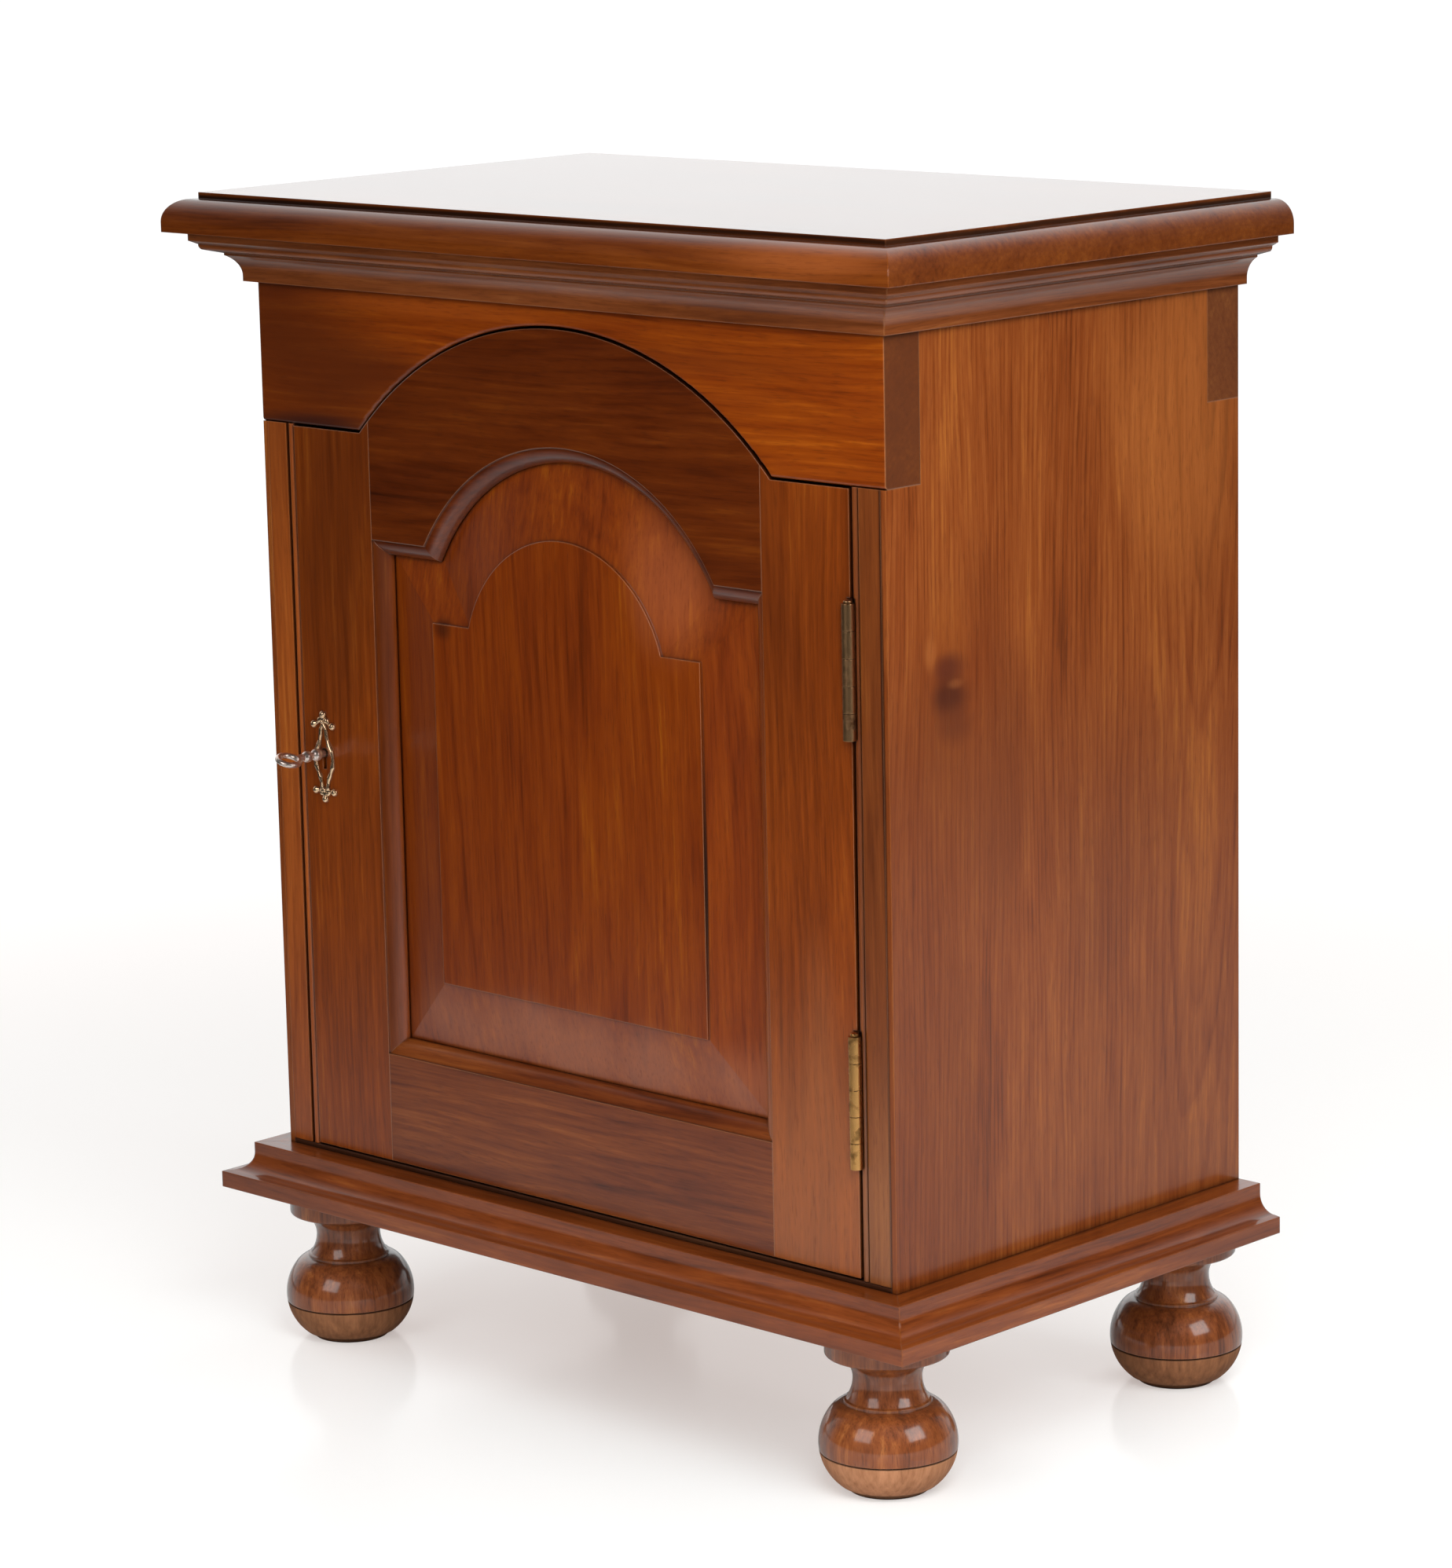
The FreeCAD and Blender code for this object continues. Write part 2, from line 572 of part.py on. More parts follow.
def makeFoot(name, side, depth):
    """A turned ball foot: disc, scored ball, ring, hollow neck, flared disc and tenon."""
    across, along = footAxis(side, depth)
    body = newBody(f"foot_{name}", across, along)

    def ball(height):
        return f"ball_core + sqrt(ball_round^2 - ({height} - ball_mid)^2)"

    score_top = "score_low + score_tall"
    rim = "neck_height + flare_round"
    turned(body, "Revolution", "XZ_Plane",
           [("0", "0"), ("pad_radius - pad_chamfer", "0"), ("pad_radius", "pad_chamfer"),
            ("pad_radius", "pad_tall"),
            (ball("pad_tall"), "pad_tall"),
            (ball("score_low"), "score_low", "ball_round", 1),
            (f"{ball('score_low')} - score_deep", "score_low + score_tall / 2"),
            (ball(score_top), score_top),
            (ball("ball_mid"), "ball_mid", "ball_round", 1),
            (ball("ball_top"), "ball_top", "ball_round", 1),
            ("ring_radius", "crown_top", "crown_round", 1), ("ring_radius", "crown_top + ring_tall"),
            ("neck_foot", "crown_top + ring_tall + ring_slope"),
            ("neck_radius", "neck_height", "neck_lower_round", -1),
            ("neck_radius + flare_round", rim, "flare_round", -1), ("flare_radius - rim_round", rim),
            ("flare_radius", f"{rim} + rim_round", "rim_round", 1),
            ("flare_radius", "base_under"), ("tenon_radius", "base_under"),
            ("tenon_radius", "base_under + tenon_tall"), ("0", "base_under + tenon_tall")], "V_Axis")


# ---- inside of the carcass ----------------------------------------------------------------

def makeBottomBoard():
    """The floor board: a thin lip under the door, then a step that the door closes against."""
    body = newBody("bottom_board")
    wide = "carcass_half - side_thick + back_rebate"
    lip = "carcass_half - side_lip"
    step = "door_thick + stop_gap"
    end = "carcass_depth - back_thick"
    pad(body, "XY_Plane", "ledge_top", "opening_base - ledge_top",
        [(f"-({lip})", "0"), (lip, "0"), (lip, "rail_thick"), (wide, "rail_thick"), (wide, end),
         (f"-({wide})", end), (f"-({wide})", "rail_thick"), (f"-({lip})", "rail_thick")])
    pad(body, "XY_Plane", "opening_base", "ledge_top + board_thick - opening_base",
        [("-opening_half", step), ("opening_half", step), ("opening_half", "rail_thick"),
         (wide, "rail_thick"), (wide, end), (f"-({wide})", end), (f"-({wide})", "rail_thick"),
         ("-opening_half", "rail_thick")])
    top = value("opening_base")
    fillet(body, "lip_round", lambda edge: edge.BoundBox.YMax < 0.01 and abs(edge.BoundBox.ZMin - top) < 0.01)


def makeShelf():
    body = newBody("shelf")
    wide = "carcass_half - side_thick + housing_deep"
    front = "rail_thick + shelf_setback"
    pad(body, "XY_Plane", "shelf_base", "board_thick",
        box(f"-({wide})", wide, front, "carcass_depth - back_thick"))


def makeBackBoards(count=4):
    """Upright back boards that overlap their neighbours by half their thickness."""
    wide = "(carcass_half - side_thick + back_rebate)"
    middle = "carcass_depth - back_thick / 2"
    for index in range(count):
        body = newBody(f"back_board_{index + 1}")
        left = f"{wide} * {2 * index - count} / {count}"
        right = f"{wide} * {2 * index + 2 - count} / {count}"
        lap_left = "board_lap" if index else "0"
        lap_right = "board_lap" if index < count - 1 else "0"
        front = "carcass_depth - back_thick"
        outline = [(f"{left} + {lap_left}", front), (f"{right} + {lap_right}", front),
                   (f"{right} + {lap_right}", middle), (right, middle), (right, "carcass_depth"),
                   (left, "carcass_depth"), (left, middle), (f"{left} + {lap_left}", middle)]
        if not index:
            outline = outline[:5] + [(left, "carcass_depth")]
        elif index == count - 1:
            outline = outline[:1] + [(right, front)] + outline[4:]
        pad(body, "XY_Plane", "ledge_top", "back_rail_bottom + back_rebate - ledge_top", outline)


# ---- door ---------------------------------------------------------------------------------

door_half = "(opening_half - door_gap)"
door_base = "(opening_base + door_gap)"
door_top = "(shoulder_top - door_gap)"
door_arch = "(arch_round - door_gap)"
sight_half = "(joint_half - stick_wide)"
sight_base = "(panel_base_line + stick_wide)"
sight_top = "(panel_shoulder_line - stick_wide)"
sight_round = "(panel_arch_round - stick_wide)"
stick_foot = "groove_front - stick_back"


def makeDoorStile(side):
    body = newBody(f"door_stile_{handed(side)}")
    arch_foot = f"sqrt({door_arch}^2 - ({door_top} - arch_centre)^2)"
    arch_side = f"arch_centre + sqrt({door_arch}^2 - joint_half^2)"
    pad(body, "XZ_Plane", "0", "door_thick",
        [(door_half, door_base), (door_half, door_top), (arch_foot, door_top),
         ("joint_half", arch_side, door_arch, 1),
         ("joint_half", "panel_shoulder_line"), (sight_half, sight_top), (sight_half, sight_base),
         ("joint_half", "panel_base_line"), ("joint_half", door_base)], side=side)
    # moulding along the inner edge, panel groove and the mortises of both rails
    cut(body, "XY_Plane", "panel_base_line - 1", "panel_shoulder_line - panel_base_line + 2",
        [(sight_half + " - 1", "-1"), ("joint_half", "-1"), ("joint_half", "stick_fillet"),
         (sight_half, stick_foot, "stick_round", -1), (sight_half + " - 1", stick_foot)],
        side=side)
    cut(body, "XY_Plane", f"{sight_base} - groove_deep", f"{sight_top} - {sight_base} + 2 * groove_deep",
        box(sight_half + " - 1", f"{sight_half} + groove_deep", "groove_front", "groove_back"), side=side)
    for low, high in railTenons():
        cut(body, "XY_Plane", low, f"({high}) - ({low})",
            box("joint_half - 1", "joint_half + rail_tenon_long + mortise_gap", "groove_front", "groove_back"),
            side=side)
    return body


def railTenons():
    """Lower and upper edge of the bottom rail's and the top rail's tenons."""
    return ((f"{door_base} + rail_tenon_inset", "panel_base_line - rail_tenon_back"),
            ("panel_shoulder_line + rail_tenon_back", f"{door_top} - rail_tenon_inset"))


def addTenons(body, low, high):
    for side in (1, -1):
        pad(body, "XZ_Plane", "groove_front", "groove_back - groove_front",
            box("joint_half - tenon_root", "joint_half + rail_tenon_long", low, high), side=side)


def makeDoorBottomRail():
    body = newBody("door_bottom_rail")
    pad(body, "XZ_Plane", "0", "door_thick",
        [("-joint_half", door_base), ("joint_half", door_base), ("joint_half", "panel_base_line"),
         (sight_half, sight_base), (f"-{sight_half}", sight_base), ("-joint_half", "panel_base_line")])
    cut(body, "YZ_Plane", "-joint_half", "2 * joint_half",
        [("-1", "panel_base_line"), ("stick_fillet", "panel_base_line"),
         (stick_foot, sight_base, "stick_round", -1), (stick_foot, f"{sight_base} + 1"),
         ("-1", f"{sight_base} + 1")])
    cut(body, "YZ_Plane", "-joint_half", "2 * joint_half",
        box("groove_front", "groove_back", f"{sight_base} - groove_deep", f"{sight_base} + 1"))
    addTenons(body, *railTenons()[0])


def makeDoorTopRail():
    """The arched rail, with the moulding and the panel groove turned round its arch."""
    body = newBody("door_top_rail")
    arch_side = f"arch_centre + sqrt({door_arch}^2 - joint_half^2)"
    foot = f"sqrt({sight_round}^2 - ({sight_top} - panel_arch_centre)^2)"
    pad(body, "XZ_Plane", "0", "door_thick",
        [("joint_half", arch_side), ("-joint_half", arch_side, door_arch, 1),
         ("-joint_half", "panel_shoulder_line"), (f"-{sight_half}", sight_top),
         (f"panel_arch_shift - {foot}", sight_top),
         (f"panel_arch_shift + {foot}", sight_top, sight_round, -1), (sight_half, sight_top),
         ("joint_half", "panel_shoulder_line")])
    cut(body, "YZ_Plane", "-joint_half", "2 * joint_half",
        [("-1", "panel_shoulder_line"), ("-1", f"{sight_top} - 1"), (stick_foot, f"{sight_top} - 1"),
         (stick_foot, sight_top), ("stick_fillet", "panel_shoulder_line", "stick_round", -1)])
    cut(body, "YZ_Plane", "-joint_half", "2 * joint_half",
        box("groove_front", "groove_back", f"{sight_top} - 1", f"{sight_top} + groove_deep"))
    # drawn below the centre, so that the seam of the turned faces falls outside the rail
    centre = {"axis": "H_Axis", "shift": ("0", "panel_arch_centre"), "start": "panel_arch_shift"}
    turned(body, "Groove", "YZ_Plane",
           [("-1", f"1 - {sight_round}"), (stick_foot, f"1 - {sight_round}"),
            (stick_foot, f"-{sight_round}"), ("stick_fillet", "-panel_arch_round", "stick_round", 1),
            ("-1", "-panel_arch_round")], **centre)
    turned(body, "Groove", "YZ_Plane",
           box("groove_front", "groove_back", f"-{sight_round} - groove_deep", f"1 - {sight_round}"), **centre)
    addTenons(body, *railTenons()[1])


def panelOutline(half, low, shoulder, radius, centre, shift):
    foot = f"sqrt({radius}^2 - ({shoulder} - ({centre}))^2)"
    return [(f"-({half})", low), (half, low), (half, shoulder), (f"{shift} + {foot}", shoulder),
            (f"{shift} - {foot}", shoulder, radius, 1), (f"-({half})", shoulder)]


def makeDoorPanel():
    """Fielded panel: a tongue that sits in the groove, a wide ruled bevel and the raised field."""
    body = newBody("door_panel")
    tongue = panelOutline(f"{sight_half} + tongue_in", f"{sight_base} - tongue_in", f"{sight_top} + tongue_in",
                          f"({sight_round} + tongue_in)", "panel_arch_centre", "panel_arch_shift")
    field = panelOutline("field_half", "field_base", "field_shoulder", "field_arch_round",
                         "field_arch_centre", "0")
    pad(body, "XZ_Plane", "panel_edge", "panel_back - panel_edge", tongue)
    bevel = body.newObject("PartDesign::AdditiveLoft", "Bevel")
    sketches = []
    for depth, outline in (("panel_edge", tongue), ("field_face + field_step", field)):
        sketch = newSketch(body, "XZ_Plane", depth)
        drawOutline(sketch, outline)
        sketches.append(sketch)
    bevel.Profile = sketches[0]
    bevel.Sections = [sketches[1]]
    bevel.Ruled = True
    pad(body, "XZ_Plane", "field_face", "field_step", field)


# ---- hinges ---------------------------------------------------------------------------------

pin_x = "(opening_half - door_gap / 2)"
knuckle_count = 5


def hingeHeights():
    return (("upper", "upper_hinge"), ("lower", "lower_hinge"))


def knuckleSpan(height, index):
    low = f"{height} - hinge_long / 2 + hinge_long * {index} / {knuckle_count} + knuckle_gap / 2"
    return low, f"hinge_long / {knuckle_count} - knuckle_gap"


def makeHingeLeaf(label, height, outward, own):
    """One leaf: outward is +1 on the frame and -1 on the door, own the knuckles it carries."""
    body = newBody(label)
    near, far = f"{pin_x} + {outward} * leaf_gap", f"{pin_x} + {outward} * (leaf_gap + leaf_thick)"
    left, right = (near, far) if outward > 0 else (far, near)
    low = f"{height} - hinge_long / 2"
    pad(body, "XY_Plane", low, "hinge_long",
        box(left, right, "knuckle_radius - pin_drop + web_long / 2", "leaf_reach"))
    for index in own:
        base, length = knuckleSpan(height, index)
        pad(body, "XY_Plane", base, length,
            box(left, right, "-pin_drop", "knuckle_radius - pin_drop + web_long"))
        pad(body, "XY_Plane", base, length, (pin_x, "-pin_drop", "knuckle_radius"))
    bore = "pin_radius" if outward > 0 else "pin_radius + pin_fit"
    cut(body, "XY_Plane", low, "hinge_long", (pin_x, "-pin_drop", bore))
    spots = [("screw_back", f"{height} + {step} * screw_pitch") for step in (-1, 0, 1)]
    countersink(body, "YZ_Plane", near, "leaf_thick", spots, "screw_head", outward)


def makeHingePin(label, height):
    body = newBody(label, pin_x, "-pin_drop")
    low, high = f"{height} - hinge_long / 2", f"{height} + hinge_long / 2"
    turned(body, "Revolution", "XZ_Plane",
           [("0", low), ("pin_radius", low), ("pin_radius", high), ("pin_radius + tip_round", high),
            ("pin_radius + tip_round", f"{high} + pin_tip - tip_round"),
            ("pin_radius", f"{high} + pin_tip", "tip_round", 1), ("0", f"{high} + pin_tip")], "V_Axis")


def cutHingeGains(body, edge, outward):
    """Let one stile's edge in for the leaves, hollow it for the knuckles, drill for the screws."""
    far = f"{pin_x} + {outward} * (leaf_gap + leaf_thick)"
    left, right = (edge, far) if outward > 0 else (far, edge)
    for _, height in hingeHeights():
        low = f"{height} - hinge_long / 2"
        outline = box(left, right, "-1", "leaf_reach")
        cut(body, "XY_Plane", low, "hinge_long", outline)
        cut(body, "XY_Plane", low, "hinge_long + pin_tip + tip_clear", (pin_x, "-pin_drop", "knuckle_relief"))
        spots = [("screw_back", f"{height} + {step} * screw_pitch") for step in (-1, 0, 1)]
        drill(body, "YZ_Plane", far, "screw_long - leaf_thick", spots, "screw_head", outward)


def screwSolid(head, sink, long, slot=0.5):
    """A countersunk slotted screw whose face is at the origin and whose point is along +Z."""
    head, shank, sink, long = (value(text) for text in (head, screwShank(head), sink, long))
    profile = Part.makePolygon([Vector(0, 0, 0), Vector(head, 0, 0), Vector(shank, 0, sink),
                                Vector(shank, 0, long - shank), Vector(0, 0, long), Vector(0, 0, 0)])
    body = Part.Face(profile).revolve(Vector(), Vector(0, 0, 1), 360)
    return body.cut(Part.makeBox(2 * head, slot, slot, Vector(-head, -slot / 2, 0)))


def placed(solid, spot, direction):
    turned_copy = solid.copy()
    turned_copy.Placement = Placement(spot, Rotation(Vector(0, 0, 1), direction))
    return turned_copy


def makeHingeScrews(label, outward):
    screw = screwSolid("screw_head", "leaf_thick", "screw_long")
    face = value(f"{pin_x} + {outward} * leaf_gap")
    grouped(label, [placed(screw, Vector(face, value("screw_back"), value(f"{height} + {step} * screw_pitch")),
                           Vector(outward, 0, 0))
                    for _, height in hingeHeights() for step in (-1, 0, 1)])


# ---- lock, key and escutcheon ------------------------------------------------------------------

edge_x = f"-{door_half}"
case_right = f"(case_wide - {door_half})"


def cutKeyhole(body, start, length):
    cut(body, "XZ_Plane", start, length, ("key_x", "key_z", "key_hole_radius"))
    cut(body, "XZ_Plane", start, length,
        box("key_x - key_slot_half", "key_x + key_slot_half", "key_z - bit_reach - bit_clear", "key_z"))


def lockScrewSpots():
    """Where the selvedge screws (y, z) and the back screws (x, z) go."""
    heights = [f"key_z + {up} * lug_screw" for up in (-1, 1)]
    return [("lug_along", up) for up in heights], [("key_x + lug_across", up) for up in heights]


def cutLockRecess(stile):
    tall, plate = "case_half_tall", "plate_half_tall"
    cut(stile, "XZ_Plane", "case_front", "door_thick - case_front + 1",
        box(f"{edge_x} - 1", case_right, f"key_z - {tall}", f"key_z + {tall}"))
    cut(stile, "XZ_Plane", "case_back", "door_thick - case_back + 1",
        box(f"{edge_x} - 1", case_right, f"key_z - {plate}", f"key_z + {plate}"))
    cut(stile, "XZ_Plane", "case_front - plate_fore", "door_thick - case_front + plate_fore + 1",
        box(f"{edge_x} - 1", f"{edge_x} + plate_thick", f"key_z - {plate}", f"key_z + {plate}"))
    cutKeyhole(stile, "-1", "case_front + 2")
    selvedge, back = lockScrewSpots()
    drill(stile, "YZ_Plane", edge_x, "lock_screw_long", selvedge, "lock_screw", 1)
    drill(stile, "XZ_Plane", "door_thick", "lock_screw_long", back, "lock_screw", -1)
    cut(stile, "XZ_Plane", "0", "pin_long", *[(*spot, "nail_radius") for spot in escutcheonPinSpots()])


def makeLockCase():
    body = newBody("lock_case")
    pad(body, "XZ_Plane", "case_front", "case_back - case_front",
        box(f"{edge_x} + plate_thick", case_right, "key_z - case_half_tall", "key_z + case_half_tall"))
    cut(body, "XZ_Plane", "case_front + case_wall", "case_back - case_front",
        box(f"{edge_x} + plate_thick + case_wall", f"{case_right} - case_wall",
            "key_z - case_half_tall + case_wall", "key_z + case_half_tall - case_wall"))
    pad(body, "XZ_Plane", "case_front - plate_fore", "door_thick - case_front + plate_fore",
        box(edge_x, f"{edge_x} + plate_thick", "key_z - plate_half_tall", "key_z + plate_half_tall"))
    # the bolt's way through selvedge and wall, the keyhole and the selvedge screws
    cut(body, "YZ_Plane", edge_x, "plate_thick + case_wall + 1", boltWay())
    cutKeyhole(body, "case_front - 1", "case_wall + 2")
    countersink(body, "YZ_Plane", edge_x, "plate_thick", lockScrewSpots()[0], "lock_screw", 1)


def makeLockCap():
    body = newBody("lock_cap")
    thick = "door_thick - case_back"
    pad(body, "XZ_Plane", "case_back", thick,
        box(f"{edge_x} + plate_thick", case_right, "key_z - plate_half_tall", "key_z + plate_half_tall"))
    cut(body, "XZ_Plane", "case_back", thick, ("key_x", "key_z", "shank_radius + key_fit"))
    countersink(body, "XZ_Plane", "door_thick", thick, lockScrewSpots()[1], "lock_screw", -1)


def makeLockScrews():
    selvedge, back = lockScrewSpots()
    edge_screw = screwSolid("lock_screw", "plate_thick", "lock_screw_long")
    back_screw = screwSolid("lock_screw", "door_thick - case_back", "lock_screw_long")
    solids = [placed(edge_screw, Vector(value(edge_x), value(along), value(up)), Vector(1, 0, 0))
              for along, up in selvedge]
    solids += [placed(back_screw, Vector(value(across), value("door_thick"), value(up)), Vector(0, -1, 0))
               for across, up in back]
    grouped("lock_screws", solids)


def makeLockBolt():
    """The bolt, with a notch in its lower edge wide enough for the key's bit to sweep through."""
    body = newBody("lock_bolt")
    low = "key_z + bolt_low"
    pad(body, "XZ_Plane", "bolt_front", "bolt_thick",
        [(edge_x, low), ("key_x - talon_left", low), ("key_x - talon_left", "key_z + talon_top"),
         ("key_x + talon_right", "key_z + talon_top"), ("key_x + talon_right", low), ("key_x + bolt_end", low),
         ("key_x + bolt_end", f"{low} + bolt_tall"), (edge_x, f"{low} + bolt_tall")])


# the turned head of the shank: radius, and distance from the bow's inner end; two beads stand out
key_turnings = [(2.1, -1), (2.1, 4.6), (2.8, 5.6), (3.1, 7.2), (2.8, 8.8), (2.1, 9.8), (2.1, 12.8), (2.6, 13.6),
                (2.8, 15.2), (2.6, 16.8), (2.2, 17.6)]


def makeKey():
    """Ring bow, beaded shank and bit in one plane, which is nearly level when the bolt is drawn back."""
    body = newBody("key", "key_x", "0", "key_z")
    body.Placement = Placement(body.Placement.Base, Rotation(Vector(0, 1, 0), value("key_tilt")))
    body.setExpression("Placement.Rotation.Angle", "Dims.key_tilt * 1 deg")
    neck = "(bow_long - key_reach)"
    turned(body, "Revolution", "XZ_Plane", ("(bow_long - bow_bar) / 2", "0", "bow_bar / 2"), "V_Axis",
           start=f"{neck} - bow_long / 2")
    turned(body, "Revolution", "XY_Plane",
           [("0", "door_thick - key_tip"), ("0", f"{neck} - 1.5")]
           + [(str(radius), f"{neck} + {along}") for radius, along in key_turnings]
           + [("shank_radius", "door_thick - 2 * key_tip"), ("shank_radius - key_tip", "door_thick - key_tip")],
           "V_Axis")
    pad(body, "XY_Plane", "-bit_half", "2 * bit_half",
        box("0", "bit_reach", "bit_front", "bit_front + bit_wide"))


def makeEscutcheon():
    """Pierced plate: a slender pointed loop round the keyhole with a trefoil at each end."""
    body = newBody("escutcheon", "key_x", "-plate_face", "key_z - plate_drop")
    outer = "((loop_end^2 + loop_half^2) / (2 * loop_half) + loop_bar / 2)"
    inner = f"({outer} - loop_bar)"
    rise_out = f"sqrt({outer}^2 - (loop_half + loop_bar / 2 - {outer})^2)"
    rise_in = f"sqrt({inner}^2 - (loop_half + loop_bar / 2 - {outer})^2)"
    for side in (1, -1):
        pad(body, "XZ_Plane", "0", "plate_face",
            [("0", f"-{rise_out}"), ("0", rise_out, outer, 1), ("0", rise_in), ("0", f"-{rise_in}", inner, -1)],
            side=side)
    for up in (1, -1):
        pad(body, "XZ_Plane", "0", "plate_face",
            box("-loop_bar", "loop_bar", f"{up} * (loop_end + bridge_rise) - bridge_half",
                f"{up} * (loop_end + bridge_rise) + bridge_half"))
        pad(body, "XZ_Plane", "0", "plate_face",
            box("-lobe_side", "lobe_side", f"{up} * lobe_rise - arm_half", f"{up} * lobe_rise + arm_half"))
        lobes = [("0", "heart_rise", "heart_lobe"), ("0", "lobe_tip", "leaf_lobe"),
                 ("lobe_side", "lobe_rise", "leaf_lobe"), ("-lobe_side", "lobe_rise", "leaf_lobe"),
                 ("loop_half + cusp_out", "cusp_rise", "cusp_radius"),
                 ("-loop_half - cusp_out", "cusp_rise", "cusp_radius")]
        for across, rise, radius in lobes:
            pad(body, "XZ_Plane", "0", "plate_face", (across, f"{up} * ({rise})", radius))
        cut(body, "XZ_Plane", "0", "plate_face", ("0", f"{up} * heart_rise", "nail_radius"))


def escutcheonPinSpots():
    return [("key_x", f"key_z - plate_drop + {up} * heart_rise") for up in (-1, 1)]


def makeEscutcheonPins():
    """Two round-headed brass nails."""
    face, radius = value("plate_face"), value("nail_radius")
    solids = []
    for across, up in escutcheonPinSpots():
        spot = Vector(value(across), 0, value(up))
        shank = Part.makeCylinder(radius, face + value("pin_long"), spot - Vector(0, face, 0), Vector(0, 1, 0))
        head = Part.makeSphere(2 * radius, spot - Vector(0, face - radius, 0), Vector(0, -1, 0), 30, 90)
        solids.append(shank.fuse(head).removeSplitter())
    grouped("escutcheon_pins", solids)


bolt_middle = "(key_z + bolt_low + bolt_tall / 2)"


def boltWay():
    return box("bolt_front - bolt_clear", "bolt_front + bolt_thick + bolt_clear",
               "key_z + bolt_low - bolt_clear", "key_z + bolt_low + bolt_tall + bolt_clear")


def strikePlate():
    return box("bolt_front - strike_border", "bolt_front + bolt_thick + strike_border",
               f"{bolt_middle} - strike_half_tall", f"{bolt_middle} + strike_half_tall")


def strikeScrewSpots():
    return [("bolt_front + bolt_thick / 2", f"{bolt_middle} + {up} * strike_screw") for up in (-1, 1)]


def makeStrikePlate():
    body = newBody("strike_plate")
    pad(body, "YZ_Plane", "-opening_half - plate_thick", "plate_thick", strikePlate())
    cut(body, "YZ_Plane", "-opening_half - plate_thick", "plate_thick", boltWay())
    countersink(body, "YZ_Plane", "-opening_half", "plate_thick", strikeScrewSpots(), "lock_screw", -1)


def cutStrike(stile):
    cut(stile, "YZ_Plane", "-opening_half - plate_thick", "plate_thick + 1", strikePlate())
    cut(stile, "YZ_Plane", "-opening_half - mortise_deep", "mortise_deep", boltWay())
    drill(stile, "YZ_Plane", "-opening_half", "lock_screw_long", strikeScrewSpots(), "lock_screw", -1)


def makeStrikeScrews():
    screw = screwSolid("lock_screw", "plate_thick", "lock_screw_long")
    grouped("strike_screws", [placed(screw, Vector(-value("opening_half"), value(along), value(up)),
                                     Vector(-1, 0, 0)) for along, up in strikeScrewSpots()])


# ---- the assembly ------------------------------------------------------------------------------

for side in (-1, 1):
    makeSide(side)
frame_stiles = {side: makeFrameStile(side) for side in (-1, 1)}
makeFriezeRail()
makeBackRail()
makeTopBoard()
cornice = corniceProfile()
makeFrontMoulding("cornice_front", cornice, "0", "fillet_out")
for side in (-1, 1):
    makeSideMoulding(f"cornice_{handed(side)}", cornice, "0", "fillet_out", side)
makeBottomBoard()
makeShelf()
makeBackBoards()
makeBaseFrame()
for name, (side, depth) in footSpots().items():
    makeFoot(name, side, depth)

door_stiles = {side: makeDoorStile(side) for side in (-1, 1)}
makeDoorBottomRail()
makeDoorTopRail()
makeDoorPanel()

for name, height in hingeHeights():
    makeHingeLeaf(f"hinge_{name}_frame_leaf", height, 1, (0, 2, 4))
    makeHingeLeaf(f"hinge_{name}_door_leaf", height, -1, (1, 3))
    makeHingePin(f"hinge_{name}_pin", height)
cutHingeGains(frame_stiles[1], "opening_half - 1", 1)
cutHingeGains(door_stiles[1], f"{door_half} + 1", -1)
makeHingeScrews("hinge_screws_frame", 1)
makeHingeScrews("hinge_screws_door", -1)

cutLockRecess(door_stiles[-1])
makeLockCase()
makeLockCap()
makeLockScrews()
makeLockBolt()
makeKey()
makeEscutcheon()
makeEscutcheonPins()
makeStrikePlate()
cutStrike(frame_stiles[-1])
makeStrikeScrews()

doc.recompute()


def checkModel():
    """Stop on a failed feature, a cut that removes nothing, or a bad solid."""
    for item in doc.Objects:
        if "Invalid" in item.State or "Error" in item.State:
            raise RuntimeError(f"{item.Name} did not compute: {item.State}")
        if item.TypeId in ("PartDesign::Pocket", "PartDesign::Groove"):
            if item.Shape.Volume > item.BaseFeature.Shape.Volume - 0.01:
                raise RuntimeError(f"{item.Name} of {item.getParentGeoFeatureGroup().Label} cuts nothing")
    for node in nodes:
        if node.Shape.isNull() or not node.Shape.isValid() or not node.Shape.Solids:
            raise RuntimeError(f"{node.Label} has no valid solid")


checkModel()
os.makedirs("parts", exist_ok=True)
for node in nodes:
    node.Shape.exportStep(f"parts/{node.Label}.step")
print(len(nodes), "parts written")
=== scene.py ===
import bpy
import math
from mathutils import Euler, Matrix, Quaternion, Vector


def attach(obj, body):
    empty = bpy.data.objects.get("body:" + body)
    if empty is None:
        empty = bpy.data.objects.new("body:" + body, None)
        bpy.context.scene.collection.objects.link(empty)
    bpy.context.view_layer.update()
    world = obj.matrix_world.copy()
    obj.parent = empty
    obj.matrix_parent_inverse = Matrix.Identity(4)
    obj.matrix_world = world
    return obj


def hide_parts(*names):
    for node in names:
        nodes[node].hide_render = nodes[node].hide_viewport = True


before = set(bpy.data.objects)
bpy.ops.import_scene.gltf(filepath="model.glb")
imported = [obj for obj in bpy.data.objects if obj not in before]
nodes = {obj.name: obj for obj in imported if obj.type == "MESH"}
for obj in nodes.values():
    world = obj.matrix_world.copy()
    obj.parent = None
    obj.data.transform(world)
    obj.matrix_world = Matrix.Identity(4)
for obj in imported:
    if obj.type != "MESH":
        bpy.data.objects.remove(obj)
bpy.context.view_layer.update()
print("frame loaded:", len(nodes), "nodes")


